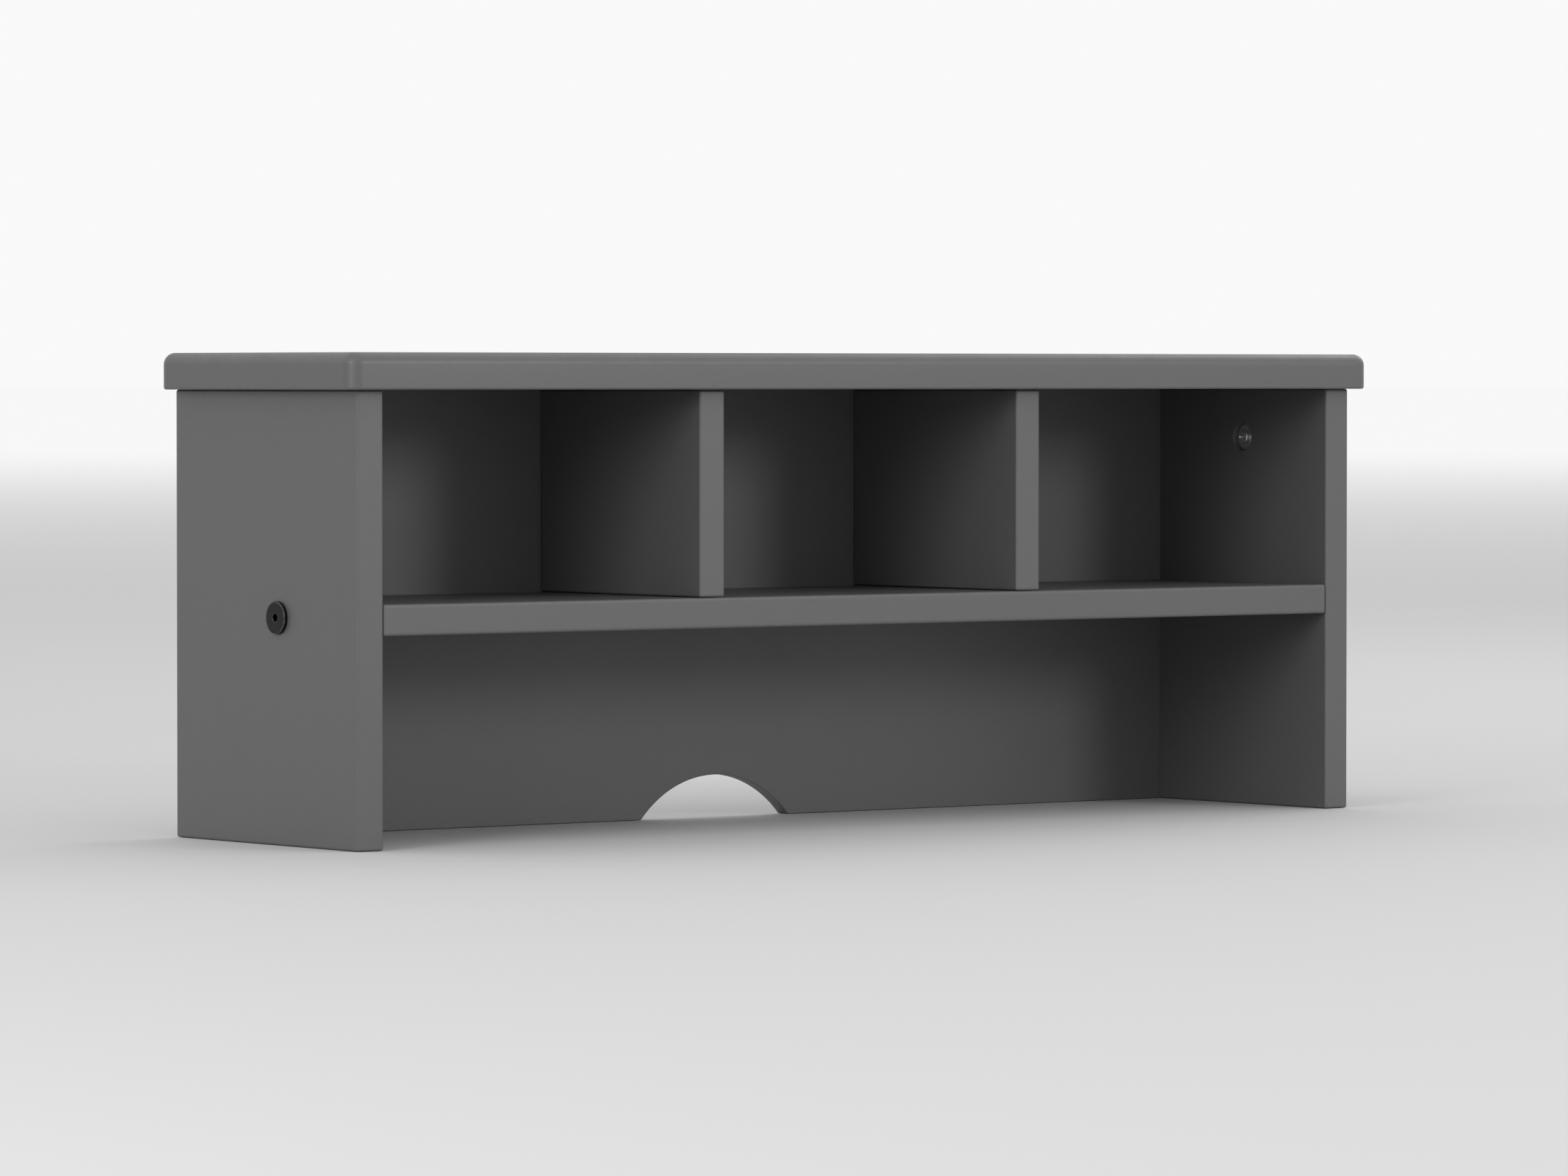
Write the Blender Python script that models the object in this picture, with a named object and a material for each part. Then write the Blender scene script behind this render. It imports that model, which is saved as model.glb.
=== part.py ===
"""Desk hutch: three cubbies over one long bay, for the back of a writing desk.

Seven boards are held together by wooden dowels, two through bolts with barrel nuts, two cam
fittings and wood screws.  X runs to the right, Y to the back and Z up.  The origin is on the
desk top, under the middle of the hutch.  All sizes are in metres.
"""
from math import asin, cos, pi, radians, sin

import bmesh
import bpy
from mathutils import Vector

# ---------------------------------------------------------------- driving dimensions
WIDTH = 0.666                 # over the outer faces of the side panels
SIDE_DEPTH = 0.165            # front edge to back edge of a side panel
SIDE_HEIGHT = 0.232           # desk top to the underside of the top board
BOARD = 0.016                 # sides, shelf and dividers
TOP_THICKNESS = 0.019
BACK_THICKNESS = 0.009
BAY_HEIGHT = 0.108            # desk top to the underside of the shelf
SHELF_DEPTH = 0.141           # front edges to the front face of the back panel
LEFT_DIVIDER_X = -0.109
RIGHT_DIVIDER_X = 0.1035

OVERHANG_SIDE = 0.009         # top board past the side panels
OVERHANG_FRONT = 0.008
OVERHANG_BACK = 0.003
TOP_CORNER_RADIUS = 0.008     # plan corners of the top board
TOP_ROUNDOVER = 0.006         # upper rim of the top board
EDGE_EASE = 0.0012            # all other board edges

CABLE_ARCH_CHORD = 0.100      # cable cutout in the lower edge of the back panel
CABLE_ARCH_RISE = 0.023

FIT_GAP = 0.0003              # between faces that touch
GROOVE_DEPTH = 0.006          # grooves that hold the back panel
DOWEL_RADIUS = 0.004
DOWEL_LENGTH = 0.030
EDGE_DOWEL_DEPTH = 0.018      # part of a top dowel in the edge of a board
SHELF_DOWEL_DEPTH = 0.020     # part of a shelf dowel in the end of the shelf
DOWEL_SPREAD = 0.045          # dowels and screws, each side of the fitting line
TOP_DOWEL_SPREAD = 0.050

BOLT_RADIUS = 0.003
BOLT_LENGTH = 0.050
BOLT_HEAD_RADIUS = 0.0085
BOLT_HEAD_THICKNESS = 0.002
HEX_KEY_RADIUS = 0.0023       # corner radius of the 4 mm socket
HEX_KEY_DEPTH = 0.003
NUT_RADIUS = 0.005
NUT_LENGTH = 0.012
NUT_SETBACK = 0.031           # end of the shelf to the axis of the barrel nut

CAM_RADIUS = 0.0075
CAM_LENGTH = 0.0125
CAM_DROP = 0.027              # underside of the top board to the cam's axis
CAM_POCKET_RADIUS = 0.0043
CAM_POCKET_REACH = 0.004      # how far the pocket runs past the cam's axis
CAM_KEY = {"reach": 0.0042, "half_arm": 0.0008, "depth": 0.0025}
PIN_NECK_RADIUS = 0.0021
PIN_NECK_LENGTH = 0.004
PIN_HEAD_RADIUS = 0.0034
PIN_HEAD_LENGTH = 0.0035
PIN_HEAD_REACH = 0.002        # how far the pin's head runs past the cam's axis
PIN_SHANK_RADIUS = 0.0035
PIN_THREAD_RADIUS = 0.003
PIN_THREAD_LENGTH = 0.012

DIVIDER_SCREW = {"radius": 0.0020, "head": 0.0040, "length": 0.035}
BACK_SCREW = {"radius": 0.0017, "head": 0.0034, "length": 0.028}
BACK_SCREW_SPACING = 0.210
SCREW_HEAD_RIM = 0.0004       # straight rim of a countersunk head
SCREW_KEY_REACH = 0.65        # cross recess, as shares of the head's radius
SCREW_KEY_HALF_ARM = 0.15
SCREW_KEY_DEPTH = 0.0018

INSERT_RADIUS = 0.0045        # threaded inserts in the bottom edges of the sides
INSERT_BORE_RADIUS = 0.0026
INSERT_LENGTH = 0.013
INSERT_RECESS = 0.0005
INSERT_FRONT_Y = -0.050
INSERT_BACK_Y = 0.045

OVERCUT = 0.002               # how far a cutter starts outside the face it opens
ROUND_SIDES = 24
SMALL_SIDES = 16

# ---------------------------------------------------------------- derived places
HALF_WIDTH = WIDTH / 2
INNER_X = HALF_WIDTH - BOARD
SIDE_MIDDLE_X = HALF_WIDTH - BOARD / 2
FRONT_Y = -(OVERHANG_FRONT + SIDE_DEPTH + OVERHANG_BACK) / 2 + OVERHANG_FRONT
REAR_Y = FRONT_Y + SIDE_DEPTH
BACK_FRONT_Y = FRONT_Y + SHELF_DEPTH
BACK_REAR_Y = BACK_FRONT_Y + BACK_THICKNESS
FITTING_Y = FRONT_Y + SHELF_DEPTH / 2
SHELF_TOP_Z = BAY_HEIGHT + BOARD
SHELF_MIDDLE_Z = BAY_HEIGHT + BOARD / 2
CAM_Z = SIDE_HEIGHT - CAM_DROP

SIDES = (("left", -1), ("right", 1))
DIVIDERS = (("left", LEFT_DIVIDER_X), ("right", RIGHT_DIVIDER_X))
PLACES = (("front", -1), ("rear", 1))


# ---------------------------------------------------------------- shapes
def prism(points, sweep):
    """Closed bmesh of a flat outline moved along the sweep vector."""
    bm = bmesh.new()
    face = bm.faces.new([bm.verts.new(point) for point in points])
    moved = bmesh.ops.extrude_face_region(bm, geom=[face])
    tops = [item for item in moved["geom"] if isinstance(item, bmesh.types.BMVert)]
    bmesh.ops.translate(bm, verts=tops, vec=sweep)
    bmesh.ops.recalc_face_normals(bm, faces=bm.faces)
    return bm


def box(low, high):
    """Closed bmesh of an upright box between two corners."""
    low = Vector(low)
    high = Vector(high)
    bm = bmesh.new()
    bmesh.ops.create_cube(bm, size=1.0)
    bmesh.ops.scale(bm, verts=bm.verts, vec=high - low)
    bmesh.ops.translate(bm, verts=bm.verts, vec=(low + high) / 2)
    return bm


def turned(profile, base, axis, sides=ROUND_SIDES, ring=False):
    """Closed bmesh of (radius, height) points turned about the axis through base.

    Heights run from base along the axis.  With ring, the profile is a closed loop that stays
    clear of the axis, as in a sleeve.
    """
    bm = bmesh.new()
    verts = [bm.verts.new((radius, 0.0, height)) for radius, height in profile]
    edges = [bm.edges.new(pair) for pair in zip(verts, verts[1:])]
    if ring:
        edges.append(bm.edges.new((verts[-1], verts[0])))
    bmesh.ops.spin(bm, geom=verts + edges, cent=(0, 0, 0), axis=(0, 0, 1),
                   angle=2 * pi, steps=sides)
    bmesh.ops.remove_doubles(bm, verts=bm.verts, dist=1e-6)
    bmesh.ops.recalc_face_normals(bm, faces=bm.faces)
    turn = Vector((0, 0, 1)).rotation_difference(Vector(axis)).to_matrix()
    bmesh.ops.rotate(bm, verts=bm.verts, matrix=turn)
    bmesh.ops.translate(bm, verts=bm.verts, vec=base)
    return bm


def rod(radius, length, base, axis, sides=ROUND_SIDES):
    """Closed bmesh of a plain cylinder."""
    return turned([(0, 0), (radius, 0), (radius, length), (0, length)], base, axis, sides)


def polygon(corner_radius, corners):
    """Corner points of a regular polygon, as (x, y)."""
    steps = (2 * pi * (index + 0.5) / corners for index in range(corners))
    return [(corner_radius * cos(angle), corner_radius * sin(angle)) for angle in steps]


def cross(reach, half_arm):
    """Corner points of a plus sign, as (x, y)."""
    points = []
    for quarter in range(4):
        c, s = cos(quarter * pi / 2), sin(quarter * pi / 2)
        for x, y in ((reach, -half_arm), (reach, half_arm), (half_arm, half_arm)):
            points.append((x * c - y * s, x * s + y * c))
    return points


def rounded_rectangle(half_x, half_y, radius, steps=6):
    """Points of a rectangle with arcs at its corners, as (x, y)."""
    points = []
    for quarter, (sx, sy) in enumerate(((1, 1), (-1, 1), (-1, -1), (1, -1))):
        for step in range(steps + 1):
            angle = (quarter + step / steps) * pi / 2
            points.append((sx * (half_x - radius) + radius * cos(angle),
                           sy * (half_y - radius) + radius * sin(angle)))
    return points


def socket(outline, base, axis, depth):
    """Cutter for a recess of the outline's shape, sunk along the axis from base."""
    turn = Vector((0, 0, 1)).rotation_difference(Vector(axis)).to_matrix()
    start = Vector(base) - Vector(axis) * OVERCUT
    points = [start + turn @ Vector((x, y, 0)) for x, y in outline]
    return prism(points, Vector(axis) * (depth + OVERCUT))


# ---------------------------------------------------------------- objects
def new_material(name, color, roughness, metallic):
    """Principled material of one finish."""
    material = bpy.data.materials.new(name)
    material.use_nodes = True
    shader = material.node_tree.nodes["Principled BSDF"]
    shader.inputs["Base Color"].default_value = (*color, 1.0)
    shader.inputs["Roughness"].default_value = roughness
    shader.inputs["Metallic"].default_value = metallic
    return material


def new_object(name, shapes, material=None):
    """Object holding the shapes, with its origin at the middle of their box."""
    mesh = bpy.data.meshes.new(name)
    joined = bmesh.new()
    for shape in shapes:
        shape.to_mesh(mesh)
        joined.from_mesh(mesh)
        shape.free()
    corners = [vert.co for vert in joined.verts]
    low = Vector([min(corner[axis] for corner in corners) for axis in range(3)])
    high = Vector([max(corner[axis] for corner in corners) for axis in range(3)])
    middle = (low + high) / 2
    bmesh.ops.translate(joined, verts=joined.verts, vec=-middle)
    joined.to_mesh(mesh)
    joined.free()
    item = bpy.data.objects.new(name, mesh)
    item.location = middle
    bpy.context.scene.collection.objects.link(item)
    if material is not None:
        mesh.materials.append(material)
    return item


def ease_edges(item, width, segments=2):
    """Round the sharp edges of a board."""
    bevel = item.modifiers.new("eased_edges", "BEVEL")
    bevel.width = width
    bevel.segments = segments
    bevel.limit_method = "ANGLE"
    bevel.angle_limit = radians(40)


def cut(item, label, shapes):
    """Take the shapes, which stay clear of each other, out of the item."""
    cutter = new_object(item.name + "_" + label + "_cutter", shapes)
    cutter.hide_render = True
    cutter.display_type = "WIRE"
    modifier = item.modifiers.new(label, "BOOLEAN")
    modifier.operation = "DIFFERENCE"
    modifier.object = cutter


def shade_round(item):
    """Smooth the round faces and keep the rims sharp."""
    item.data.shade_smooth()
    item.data.set_sharp_from_angle(angle=radians(35))


def hole(radius, depth, mouth, axis, sides=ROUND_SIDES):
    """Cutter for a blind hole that runs along the axis from its mouth."""
    start = Vector(mouth) - Vector(axis) * OVERCUT
    return rod(radius, depth + OVERCUT, start, axis, sides)


def countersunk_hole(screw, depth, mouth, axis):
    """Cutter for a screw's clearance hole with its 90 degree countersink."""
    shank = screw["radius"] + FIT_GAP
    head = screw["head"] + 2 * FIT_GAP
    start = Vector(mouth) - Vector(axis) * OVERCUT
    cone_start = OVERCUT + SCREW_HEAD_RIM
    profile = [(0, 0), (head, 0), (head, cone_start), (shank, cone_start + head - shank),
               (shank, OVERCUT + depth), (0, OVERCUT + depth)]
    return turned(profile, start, axis, SMALL_SIDES)


# ---------------------------------------------------------------- boards
def build_side(label, sign, paint):
    """Side panel with its holes for dowels, bolt, cam, cam pin and inserts, and its groove."""
    inner = sign * INNER_X
    outer = sign * HALF_WIDTH
    low_x, high_x = sorted((inner, outer))
    outward = (sign, 0, 0)
    item = new_object(label + "_side", [box((low_x, FRONT_Y, 0),
                                            (high_x, REAR_Y, SIDE_HEIGHT - FIT_GAP))], paint)
    ease_edges(item, EDGE_EASE)

    bore = DOWEL_RADIUS + FIT_GAP
    shelf_part = DOWEL_LENGTH - SHELF_DOWEL_DEPTH + FIT_GAP
    across = [hole(bore, shelf_part, (inner, FITTING_Y + step * DOWEL_SPREAD, SHELF_MIDDLE_Z),
                   outward) for _, step in PLACES]
    across.append(hole(BOLT_RADIUS + FIT_GAP, BOARD + OVERCUT,
                       (inner, FITTING_Y, SHELF_MIDDLE_Z), outward))
    across.append(hole(CAM_RADIUS + FIT_GAP, CAM_LENGTH + 2 * FIT_GAP,
                       (inner, FITTING_Y, CAM_Z), outward))
    groove_x = sorted((inner - sign * OVERCUT, inner + sign * (GROOVE_DEPTH + FIT_GAP)))
    across.append(box((groove_x[0], BACK_FRONT_Y - FIT_GAP, -OVERCUT),
                      (groove_x[1], BACK_REAR_Y + FIT_GAP, SIDE_HEIGHT + OVERCUT)))
    cut(item, "across", across)

    middle = sign * SIDE_MIDDLE_X
    upright = [hole(bore, EDGE_DOWEL_DEPTH + FIT_GAP,
                    (middle, FITTING_Y + step * TOP_DOWEL_SPREAD, SIDE_HEIGHT), (0, 0, -1))
               for _, step in PLACES]
    upright.append(hole(PIN_SHANK_RADIUS + FIT_GAP, CAM_DROP, (middle, FITTING_Y, SIDE_HEIGHT),
                        (0, 0, -1)))
    upright += [hole(INSERT_RADIUS + FIT_GAP, INSERT_RECESS + INSERT_LENGTH + FIT_GAP,
                     (middle, y, 0), (0, 0, 1)) for y in (INSERT_FRONT_Y, INSERT_BACK_Y)]
    cut(item, "upright", upright)


def build_shelf(paint):
    """Shelf with end holes for dowels and bolts, and holes below for nuts and screws."""
    end = INNER_X - FIT_GAP
    item = new_object("shelf", [box((-end, FRONT_Y, BAY_HEIGHT),
                                    (end, BACK_FRONT_Y - FIT_GAP, SHELF_TOP_Z))], paint)
    ease_edges(item, EDGE_EASE)
    level = []
    below = []
    for _, sign in SIDES:
        inward = (-sign, 0, 0)
        for _, step in PLACES:
            level.append(hole(DOWEL_RADIUS + FIT_GAP, SHELF_DOWEL_DEPTH,
                              (sign * end, FITTING_Y + step * DOWEL_SPREAD, SHELF_MIDDLE_Z),
                              inward))
        level.append(hole(BOLT_RADIUS + FIT_GAP, BOLT_LENGTH - BOARD + 2 * BOLT_RADIUS,
                          (sign * end, FITTING_Y, SHELF_MIDDLE_Z), inward))
        below.append(hole(NUT_RADIUS + FIT_GAP, (BOARD + NUT_LENGTH) / 2 + FIT_GAP,
                          (sign * (INNER_X - NUT_SETBACK), FITTING_Y, BAY_HEIGHT), (0, 0, 1)))
    for step in (-1, 0, 1):
        pilot = BACK_SCREW["length"] - BACK_THICKNESS + FIT_GAP
        level.append(hole(BACK_SCREW["radius"] + FIT_GAP, pilot,
                          (step * BACK_SCREW_SPACING, BACK_FRONT_Y, SHELF_MIDDLE_Z),
                          (0, -1, 0), SMALL_SIDES))
    for _, x in DIVIDERS:
        for _, step in PLACES:
            below.append(countersunk_hole(DIVIDER_SCREW, BOARD + OVERCUT,
                                          (x, FITTING_Y + step * DOWEL_SPREAD, BAY_HEIGHT),
                                          (0, 0, 1)))
    cut(item, "level", level)
    cut(item, "below", below)


def build_divider(label, x, paint):
    """Divider with pilot holes below for its screws and dowel holes above."""
    low_z = SHELF_TOP_Z + FIT_GAP
    high_z = SIDE_HEIGHT - FIT_GAP
    item = new_object(label + "_divider", [box((x - BOARD / 2, FRONT_Y, low_z),
                                               (x + BOARD / 2, BACK_FRONT_Y - FIT_GAP, high_z))],
                      paint)
    ease_edges(item, EDGE_EASE)
    holes = []
    for _, step in PLACES:
        y = FITTING_Y + step * DOWEL_SPREAD
        holes.append(hole(DIVIDER_SCREW["radius"] + FIT_GAP,
                          DIVIDER_SCREW["length"] - BOARD + FIT_GAP, (x, y, low_z), (0, 0, 1),
                          SMALL_SIDES))
        holes.append(hole(DOWEL_RADIUS + FIT_GAP, EDGE_DOWEL_DEPTH + FIT_GAP, (x, y, high_z),
                          (0, 0, -1)))
    cut(item, "upright", holes)


def build_top(paint):
    """Top board with round corners and upper rim, dowel and pin holes, and the back's groove."""
    half_x = HALF_WIDTH + OVERHANG_SIDE
    half_y = (OVERHANG_FRONT + SIDE_DEPTH + OVERHANG_BACK) / 2
    outline = rounded_rectangle(half_x, half_y, TOP_CORNER_RADIUS)
    shape = prism([Vector((x, y, SIDE_HEIGHT)) for x, y in outline], Vector((0, 0, TOP_THICKNESS)))
    for height, width, segments in ((SIDE_HEIGHT + TOP_THICKNESS, TOP_ROUNDOVER, 4),
                                    (SIDE_HEIGHT, EDGE_EASE, 2)):
        rim = [edge for edge in shape.edges
               if all(abs(vert.co.z - height) < 1e-5 for vert in edge.verts)]
        bmesh.ops.bevel(shape, geom=rim, offset=width, offset_type="OFFSET", segments=segments,
                        profile=0.5, affect="EDGES")
    item = new_object("top_board", [shape], paint)
    shade_round(item)

    depth = DOWEL_LENGTH - EDGE_DOWEL_DEPTH + FIT_GAP
    spots = [(sign * SIDE_MIDDLE_X, FITTING_Y + step * TOP_DOWEL_SPREAD)
             for _, sign in SIDES for _, step in PLACES]
    spots += [(x, FITTING_Y + step * DOWEL_SPREAD) for _, x in DIVIDERS for _, step in PLACES]
    holes = [hole(DOWEL_RADIUS + FIT_GAP, depth, (x, y, SIDE_HEIGHT), (0, 0, 1))
             for x, y in spots]
    holes += [hole(PIN_THREAD_RADIUS + FIT_GAP, PIN_THREAD_LENGTH + FIT_GAP,
                   (sign * SIDE_MIDDLE_X, FITTING_Y, SIDE_HEIGHT), (0, 0, 1))
              for _, sign in SIDES]
    reach = INNER_X + GROOVE_DEPTH + FIT_GAP
    holes.append(box((-reach, BACK_FRONT_Y - FIT_GAP, SIDE_HEIGHT - OVERCUT),
                     (reach, BACK_REAR_Y + FIT_GAP, SIDE_HEIGHT + GROOVE_DEPTH)))
    cut(item, "below", holes)


def build_back(paint):
    """Back panel whose lower edge has a round arch for cables."""
    edge_x = INNER_X + GROOVE_DEPTH - FIT_GAP
    upper_z = SIDE_HEIGHT + GROOVE_DEPTH - FIT_GAP
    half_chord = CABLE_ARCH_CHORD / 2
    arch_radius = (half_chord ** 2 + CABLE_ARCH_RISE ** 2) / (2 * CABLE_ARCH_RISE)
    arch_centre_z = CABLE_ARCH_RISE - arch_radius
    arch_angle = asin(half_chord / arch_radius)
    steps = 20
    angles = [arch_angle * (2 * step / steps - 1) for step in range(steps + 1)]
    outline = [(edge_x, 0), (edge_x, upper_z), (-edge_x, upper_z), (-edge_x, 0)]
    outline += [(arch_radius * sin(angle), arch_centre_z + arch_radius * cos(angle))
                for angle in angles]
    points = [Vector((x, BACK_FRONT_Y, z)) for x, z in outline]
    item = new_object("back_panel", [prism(points, Vector((0, BACK_THICKNESS, 0)))], paint)
    holes = [countersunk_hole(BACK_SCREW, BACK_THICKNESS + OVERCUT,
                              (step * BACK_SCREW_SPACING, BACK_REAR_Y, SHELF_MIDDLE_Z),
                              (0, -1, 0)) for step in (-1, 0, 1)]
    cut(item, "screws", holes)


# ---------------------------------------------------------------- fasteners
def build_dowel(name, base, axis, wood):
    """Wooden dowel with chamfered ends, running along the axis from base."""
    chamfer = 0.0008
    profile = [(0, 0), (DOWEL_RADIUS - chamfer, 0), (DOWEL_RADIUS, chamfer),
               (DOWEL_RADIUS, DOWEL_LENGTH - chamfer),
               (DOWEL_RADIUS - chamfer, DOWEL_LENGTH), (0, DOWEL_LENGTH)]
    item = new_object(name, [turned(profile, base, axis, SMALL_SIDES)], wood)
    shade_round(item)


def build_dowels(wood):
    """Dowels of the shelf, side-to-top and divider-to-top joints."""
    top_z = SIDE_HEIGHT - EDGE_DOWEL_DEPTH
    for label, sign in SIDES:
        shelf_x = sign * (INNER_X - SHELF_DOWEL_DEPTH)
        for place, step in PLACES:
            build_dowel(f"shelf_dowel_{label}_{place}",
                        (shelf_x, FITTING_Y + step * DOWEL_SPREAD, SHELF_MIDDLE_Z),
                        (sign, 0, 0), wood)
            build_dowel(f"side_dowel_{label}_{place}",
                        (sign * SIDE_MIDDLE_X, FITTING_Y + step * TOP_DOWEL_SPREAD, top_z),
                        (0, 0, 1), wood)
    for label, x in DIVIDERS:
        for place, step in PLACES:
            build_dowel(f"divider_dowel_{label}_{place}",
                        (x, FITTING_Y + step * DOWEL_SPREAD, top_z), (0, 0, 1), wood)


def build_bolt(label, sign, steel):
    """Flat-headed furniture bolt with a hexagonal socket, through a side into the shelf."""
    bevel = 0.0005
    profile = [(0, 0), (BOLT_HEAD_RADIUS - bevel, 0), (BOLT_HEAD_RADIUS, bevel),
               (BOLT_HEAD_RADIUS, BOLT_HEAD_THICKNESS), (BOLT_RADIUS, BOLT_HEAD_THICKNESS),
               (BOLT_RADIUS, BOLT_HEAD_THICKNESS + BOLT_LENGTH - bevel),
               (BOLT_RADIUS - bevel, BOLT_HEAD_THICKNESS + BOLT_LENGTH),
               (0, BOLT_HEAD_THICKNESS + BOLT_LENGTH)]
    base = Vector((sign * (HALF_WIDTH + FIT_GAP + BOLT_HEAD_THICKNESS), FITTING_Y,
                   SHELF_MIDDLE_Z))
    inward = (-sign, 0, 0)
    item = new_object(f"shelf_bolt_{label}", [turned(profile, base, inward)], steel)
    shade_round(item)
    cut(item, "hex", [socket(polygon(HEX_KEY_RADIUS, 6), base, inward, HEX_KEY_DEPTH)])


def build_barrel_nut(label, sign, zinc):
    """Barrel nut across the shelf's thickness, with its cross hole and a screwdriver slot."""
    slot_half_width = 0.0006
    slot_depth = 0.0015
    axis_x = sign * (INNER_X - NUT_SETBACK)
    low_z = SHELF_MIDDLE_Z - NUT_LENGTH / 2
    item = new_object(f"barrel_nut_{label}",
                      [rod(NUT_RADIUS, NUT_LENGTH, (axis_x, FITTING_Y, low_z), (0, 0, 1))], zinc)
    shade_round(item)
    reach = NUT_RADIUS + OVERCUT
    cross_hole = rod(BOLT_RADIUS + FIT_GAP, 2 * reach,
                     (axis_x - reach, FITTING_Y, SHELF_MIDDLE_Z), (1, 0, 0))
    slot = box((axis_x - reach, FITTING_Y - slot_half_width, low_z - OVERCUT),
               (axis_x + reach, FITTING_Y + slot_half_width, low_z + slot_depth))
    cut(item, "openings", [cross_hole, slot])


def build_cam(label, sign, zinc):
    """Cam disc in the side's inner face, with a cross recess and a pocket for the pin's head."""
    bevel = 0.0004
    outward = (sign, 0, 0)
    face_x = sign * (INNER_X + FIT_GAP)
    profile = [(0, 0), (CAM_RADIUS - bevel, 0), (CAM_RADIUS, bevel), (CAM_RADIUS, CAM_LENGTH),
               (0, CAM_LENGTH)]
    base = (face_x, FITTING_Y, CAM_Z)
    item = new_object(f"cam_{label}", [turned(profile, base, outward)], zinc)
    shade_round(item)
    key = cross(CAM_KEY["reach"], CAM_KEY["half_arm"])
    cut(item, "key", [socket(key, base, outward, CAM_KEY["depth"])])
    pocket_depth = CAM_RADIUS + CAM_POCKET_REACH
    cut(item, "pocket", [hole(CAM_POCKET_RADIUS, pocket_depth,
                              (sign * SIDE_MIDDLE_X, FITTING_Y, CAM_Z + CAM_RADIUS),
                              (0, 0, -1))])


def build_cam_pin(label, sign, steel):
    """Pin screwed up into the top board, whose headed lower end sits in the cam."""
    head_low = -CAM_DROP - PIN_HEAD_REACH
    head_high = head_low + PIN_HEAD_LENGTH
    neck_high = head_high + PIN_NECK_LENGTH
    bevel = 0.0006
    profile = [(0, head_low), (PIN_HEAD_RADIUS - bevel, head_low),
               (PIN_HEAD_RADIUS, head_low + bevel), (PIN_HEAD_RADIUS, head_high - bevel),
               (PIN_NECK_RADIUS, head_high), (PIN_NECK_RADIUS, neck_high),
               (PIN_SHANK_RADIUS, neck_high + bevel),
               (PIN_SHANK_RADIUS, -FIT_GAP), (PIN_THREAD_RADIUS, -FIT_GAP),
               (PIN_THREAD_RADIUS, PIN_THREAD_LENGTH - bevel),
               (PIN_THREAD_RADIUS - bevel, PIN_THREAD_LENGTH), (0, PIN_THREAD_LENGTH)]
    base = (sign * SIDE_MIDDLE_X, FITTING_Y, SIDE_HEIGHT)
    item = new_object(f"cam_pin_{label}", [turned(profile, base, (0, 0, 1), SMALL_SIDES)], steel)
    shade_round(item)


def build_screw(name, screw, mouth, axis, steel):
    """Countersunk wood screw whose head is just below the surface at its mouth."""
    radius = screw["radius"]
    head = screw["head"]
    length = screw["length"]
    point = 2 * radius
    profile = [(0, 0), (head, 0), (head, SCREW_HEAD_RIM),
               (radius, SCREW_HEAD_RIM + head - radius), (radius, length - point), (0, length)]
    base = Vector(mouth) + Vector(axis) * FIT_GAP
    item = new_object(name, [turned(profile, base, axis, SMALL_SIDES)], steel)
    shade_round(item)
    key = cross(SCREW_KEY_REACH * head, SCREW_KEY_HALF_ARM * head)
    cut(item, "key", [socket(key, base, axis, SCREW_KEY_DEPTH)])


def build_screws(steel):
    """Screws that hold the dividers from below and the back panel from behind."""
    for label, x in DIVIDERS:
        for place, step in PLACES:
            build_screw(f"divider_screw_{label}_{place}", DIVIDER_SCREW,
                        (x, FITTING_Y + step * DOWEL_SPREAD, BAY_HEIGHT), (0, 0, 1), steel)
    for place, step in (("left", -1), ("middle", 0), ("right", 1)):
        build_screw(f"back_screw_{place}", BACK_SCREW,
                    (step * BACK_SCREW_SPACING, BACK_REAR_Y, SHELF_MIDDLE_Z), (0, -1, 0), steel)


def build_inserts(brass):
    """Threaded sleeves in the bottom edges of the sides, for bolts up through the desk top."""
    flange = 0.0003
    profile = [(INSERT_BORE_RADIUS, 0), (INSERT_RADIUS - flange, 0), (INSERT_RADIUS, flange),
               (INSERT_RADIUS, INSERT_LENGTH - flange),
               (INSERT_RADIUS - flange, INSERT_LENGTH), (INSERT_BORE_RADIUS, INSERT_LENGTH)]
    for label, sign in SIDES:
        for place, y in (("front", INSERT_FRONT_Y), ("rear", INSERT_BACK_Y)):
            base = (sign * SIDE_MIDDLE_X, y, INSERT_RECESS)
            item = new_object(f"base_insert_{label}_{place}",
                              [turned(profile, base, (0, 0, 1), ring=True)], brass)
            shade_round(item)


def main():
    """Clear the scene and build every piece."""
    for old in list(bpy.data.objects):
        bpy.data.objects.remove(old)
    paint = new_material("grey_paint", (0.150, 0.151, 0.150), 0.42, 0.0)
    wood = new_material("beech", (0.560, 0.370, 0.200), 0.65, 0.0)
    black_steel = new_material("black_steel", (0.016, 0.016, 0.017), 0.38, 0.9)
    zinc = new_material("zinc", (0.560, 0.565, 0.570), 0.34, 1.0)
    brass = new_material("brass", (0.600, 0.430, 0.180), 0.32, 1.0)

    build_top(paint)
    build_shelf(paint)
    build_back(paint)
    for label, sign in SIDES:
        build_side(label, sign, paint)
        build_bolt(label, sign, black_steel)
        build_barrel_nut(label, sign, zinc)
        build_cam(label, sign, zinc)
        build_cam_pin(label, sign, zinc)
    for label, x in DIVIDERS:
        build_divider(label, x, paint)
    build_dowels(wood)
    build_screws(zinc)
    build_inserts(brass)


main()
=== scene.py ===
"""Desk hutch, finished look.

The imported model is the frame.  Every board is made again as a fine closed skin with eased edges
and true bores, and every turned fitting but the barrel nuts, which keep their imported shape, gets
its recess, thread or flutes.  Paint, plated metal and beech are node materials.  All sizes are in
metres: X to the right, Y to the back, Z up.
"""

from collections import namedtuple
from functools import wraps
from math import atan2, cos, pi, radians, sin

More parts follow.
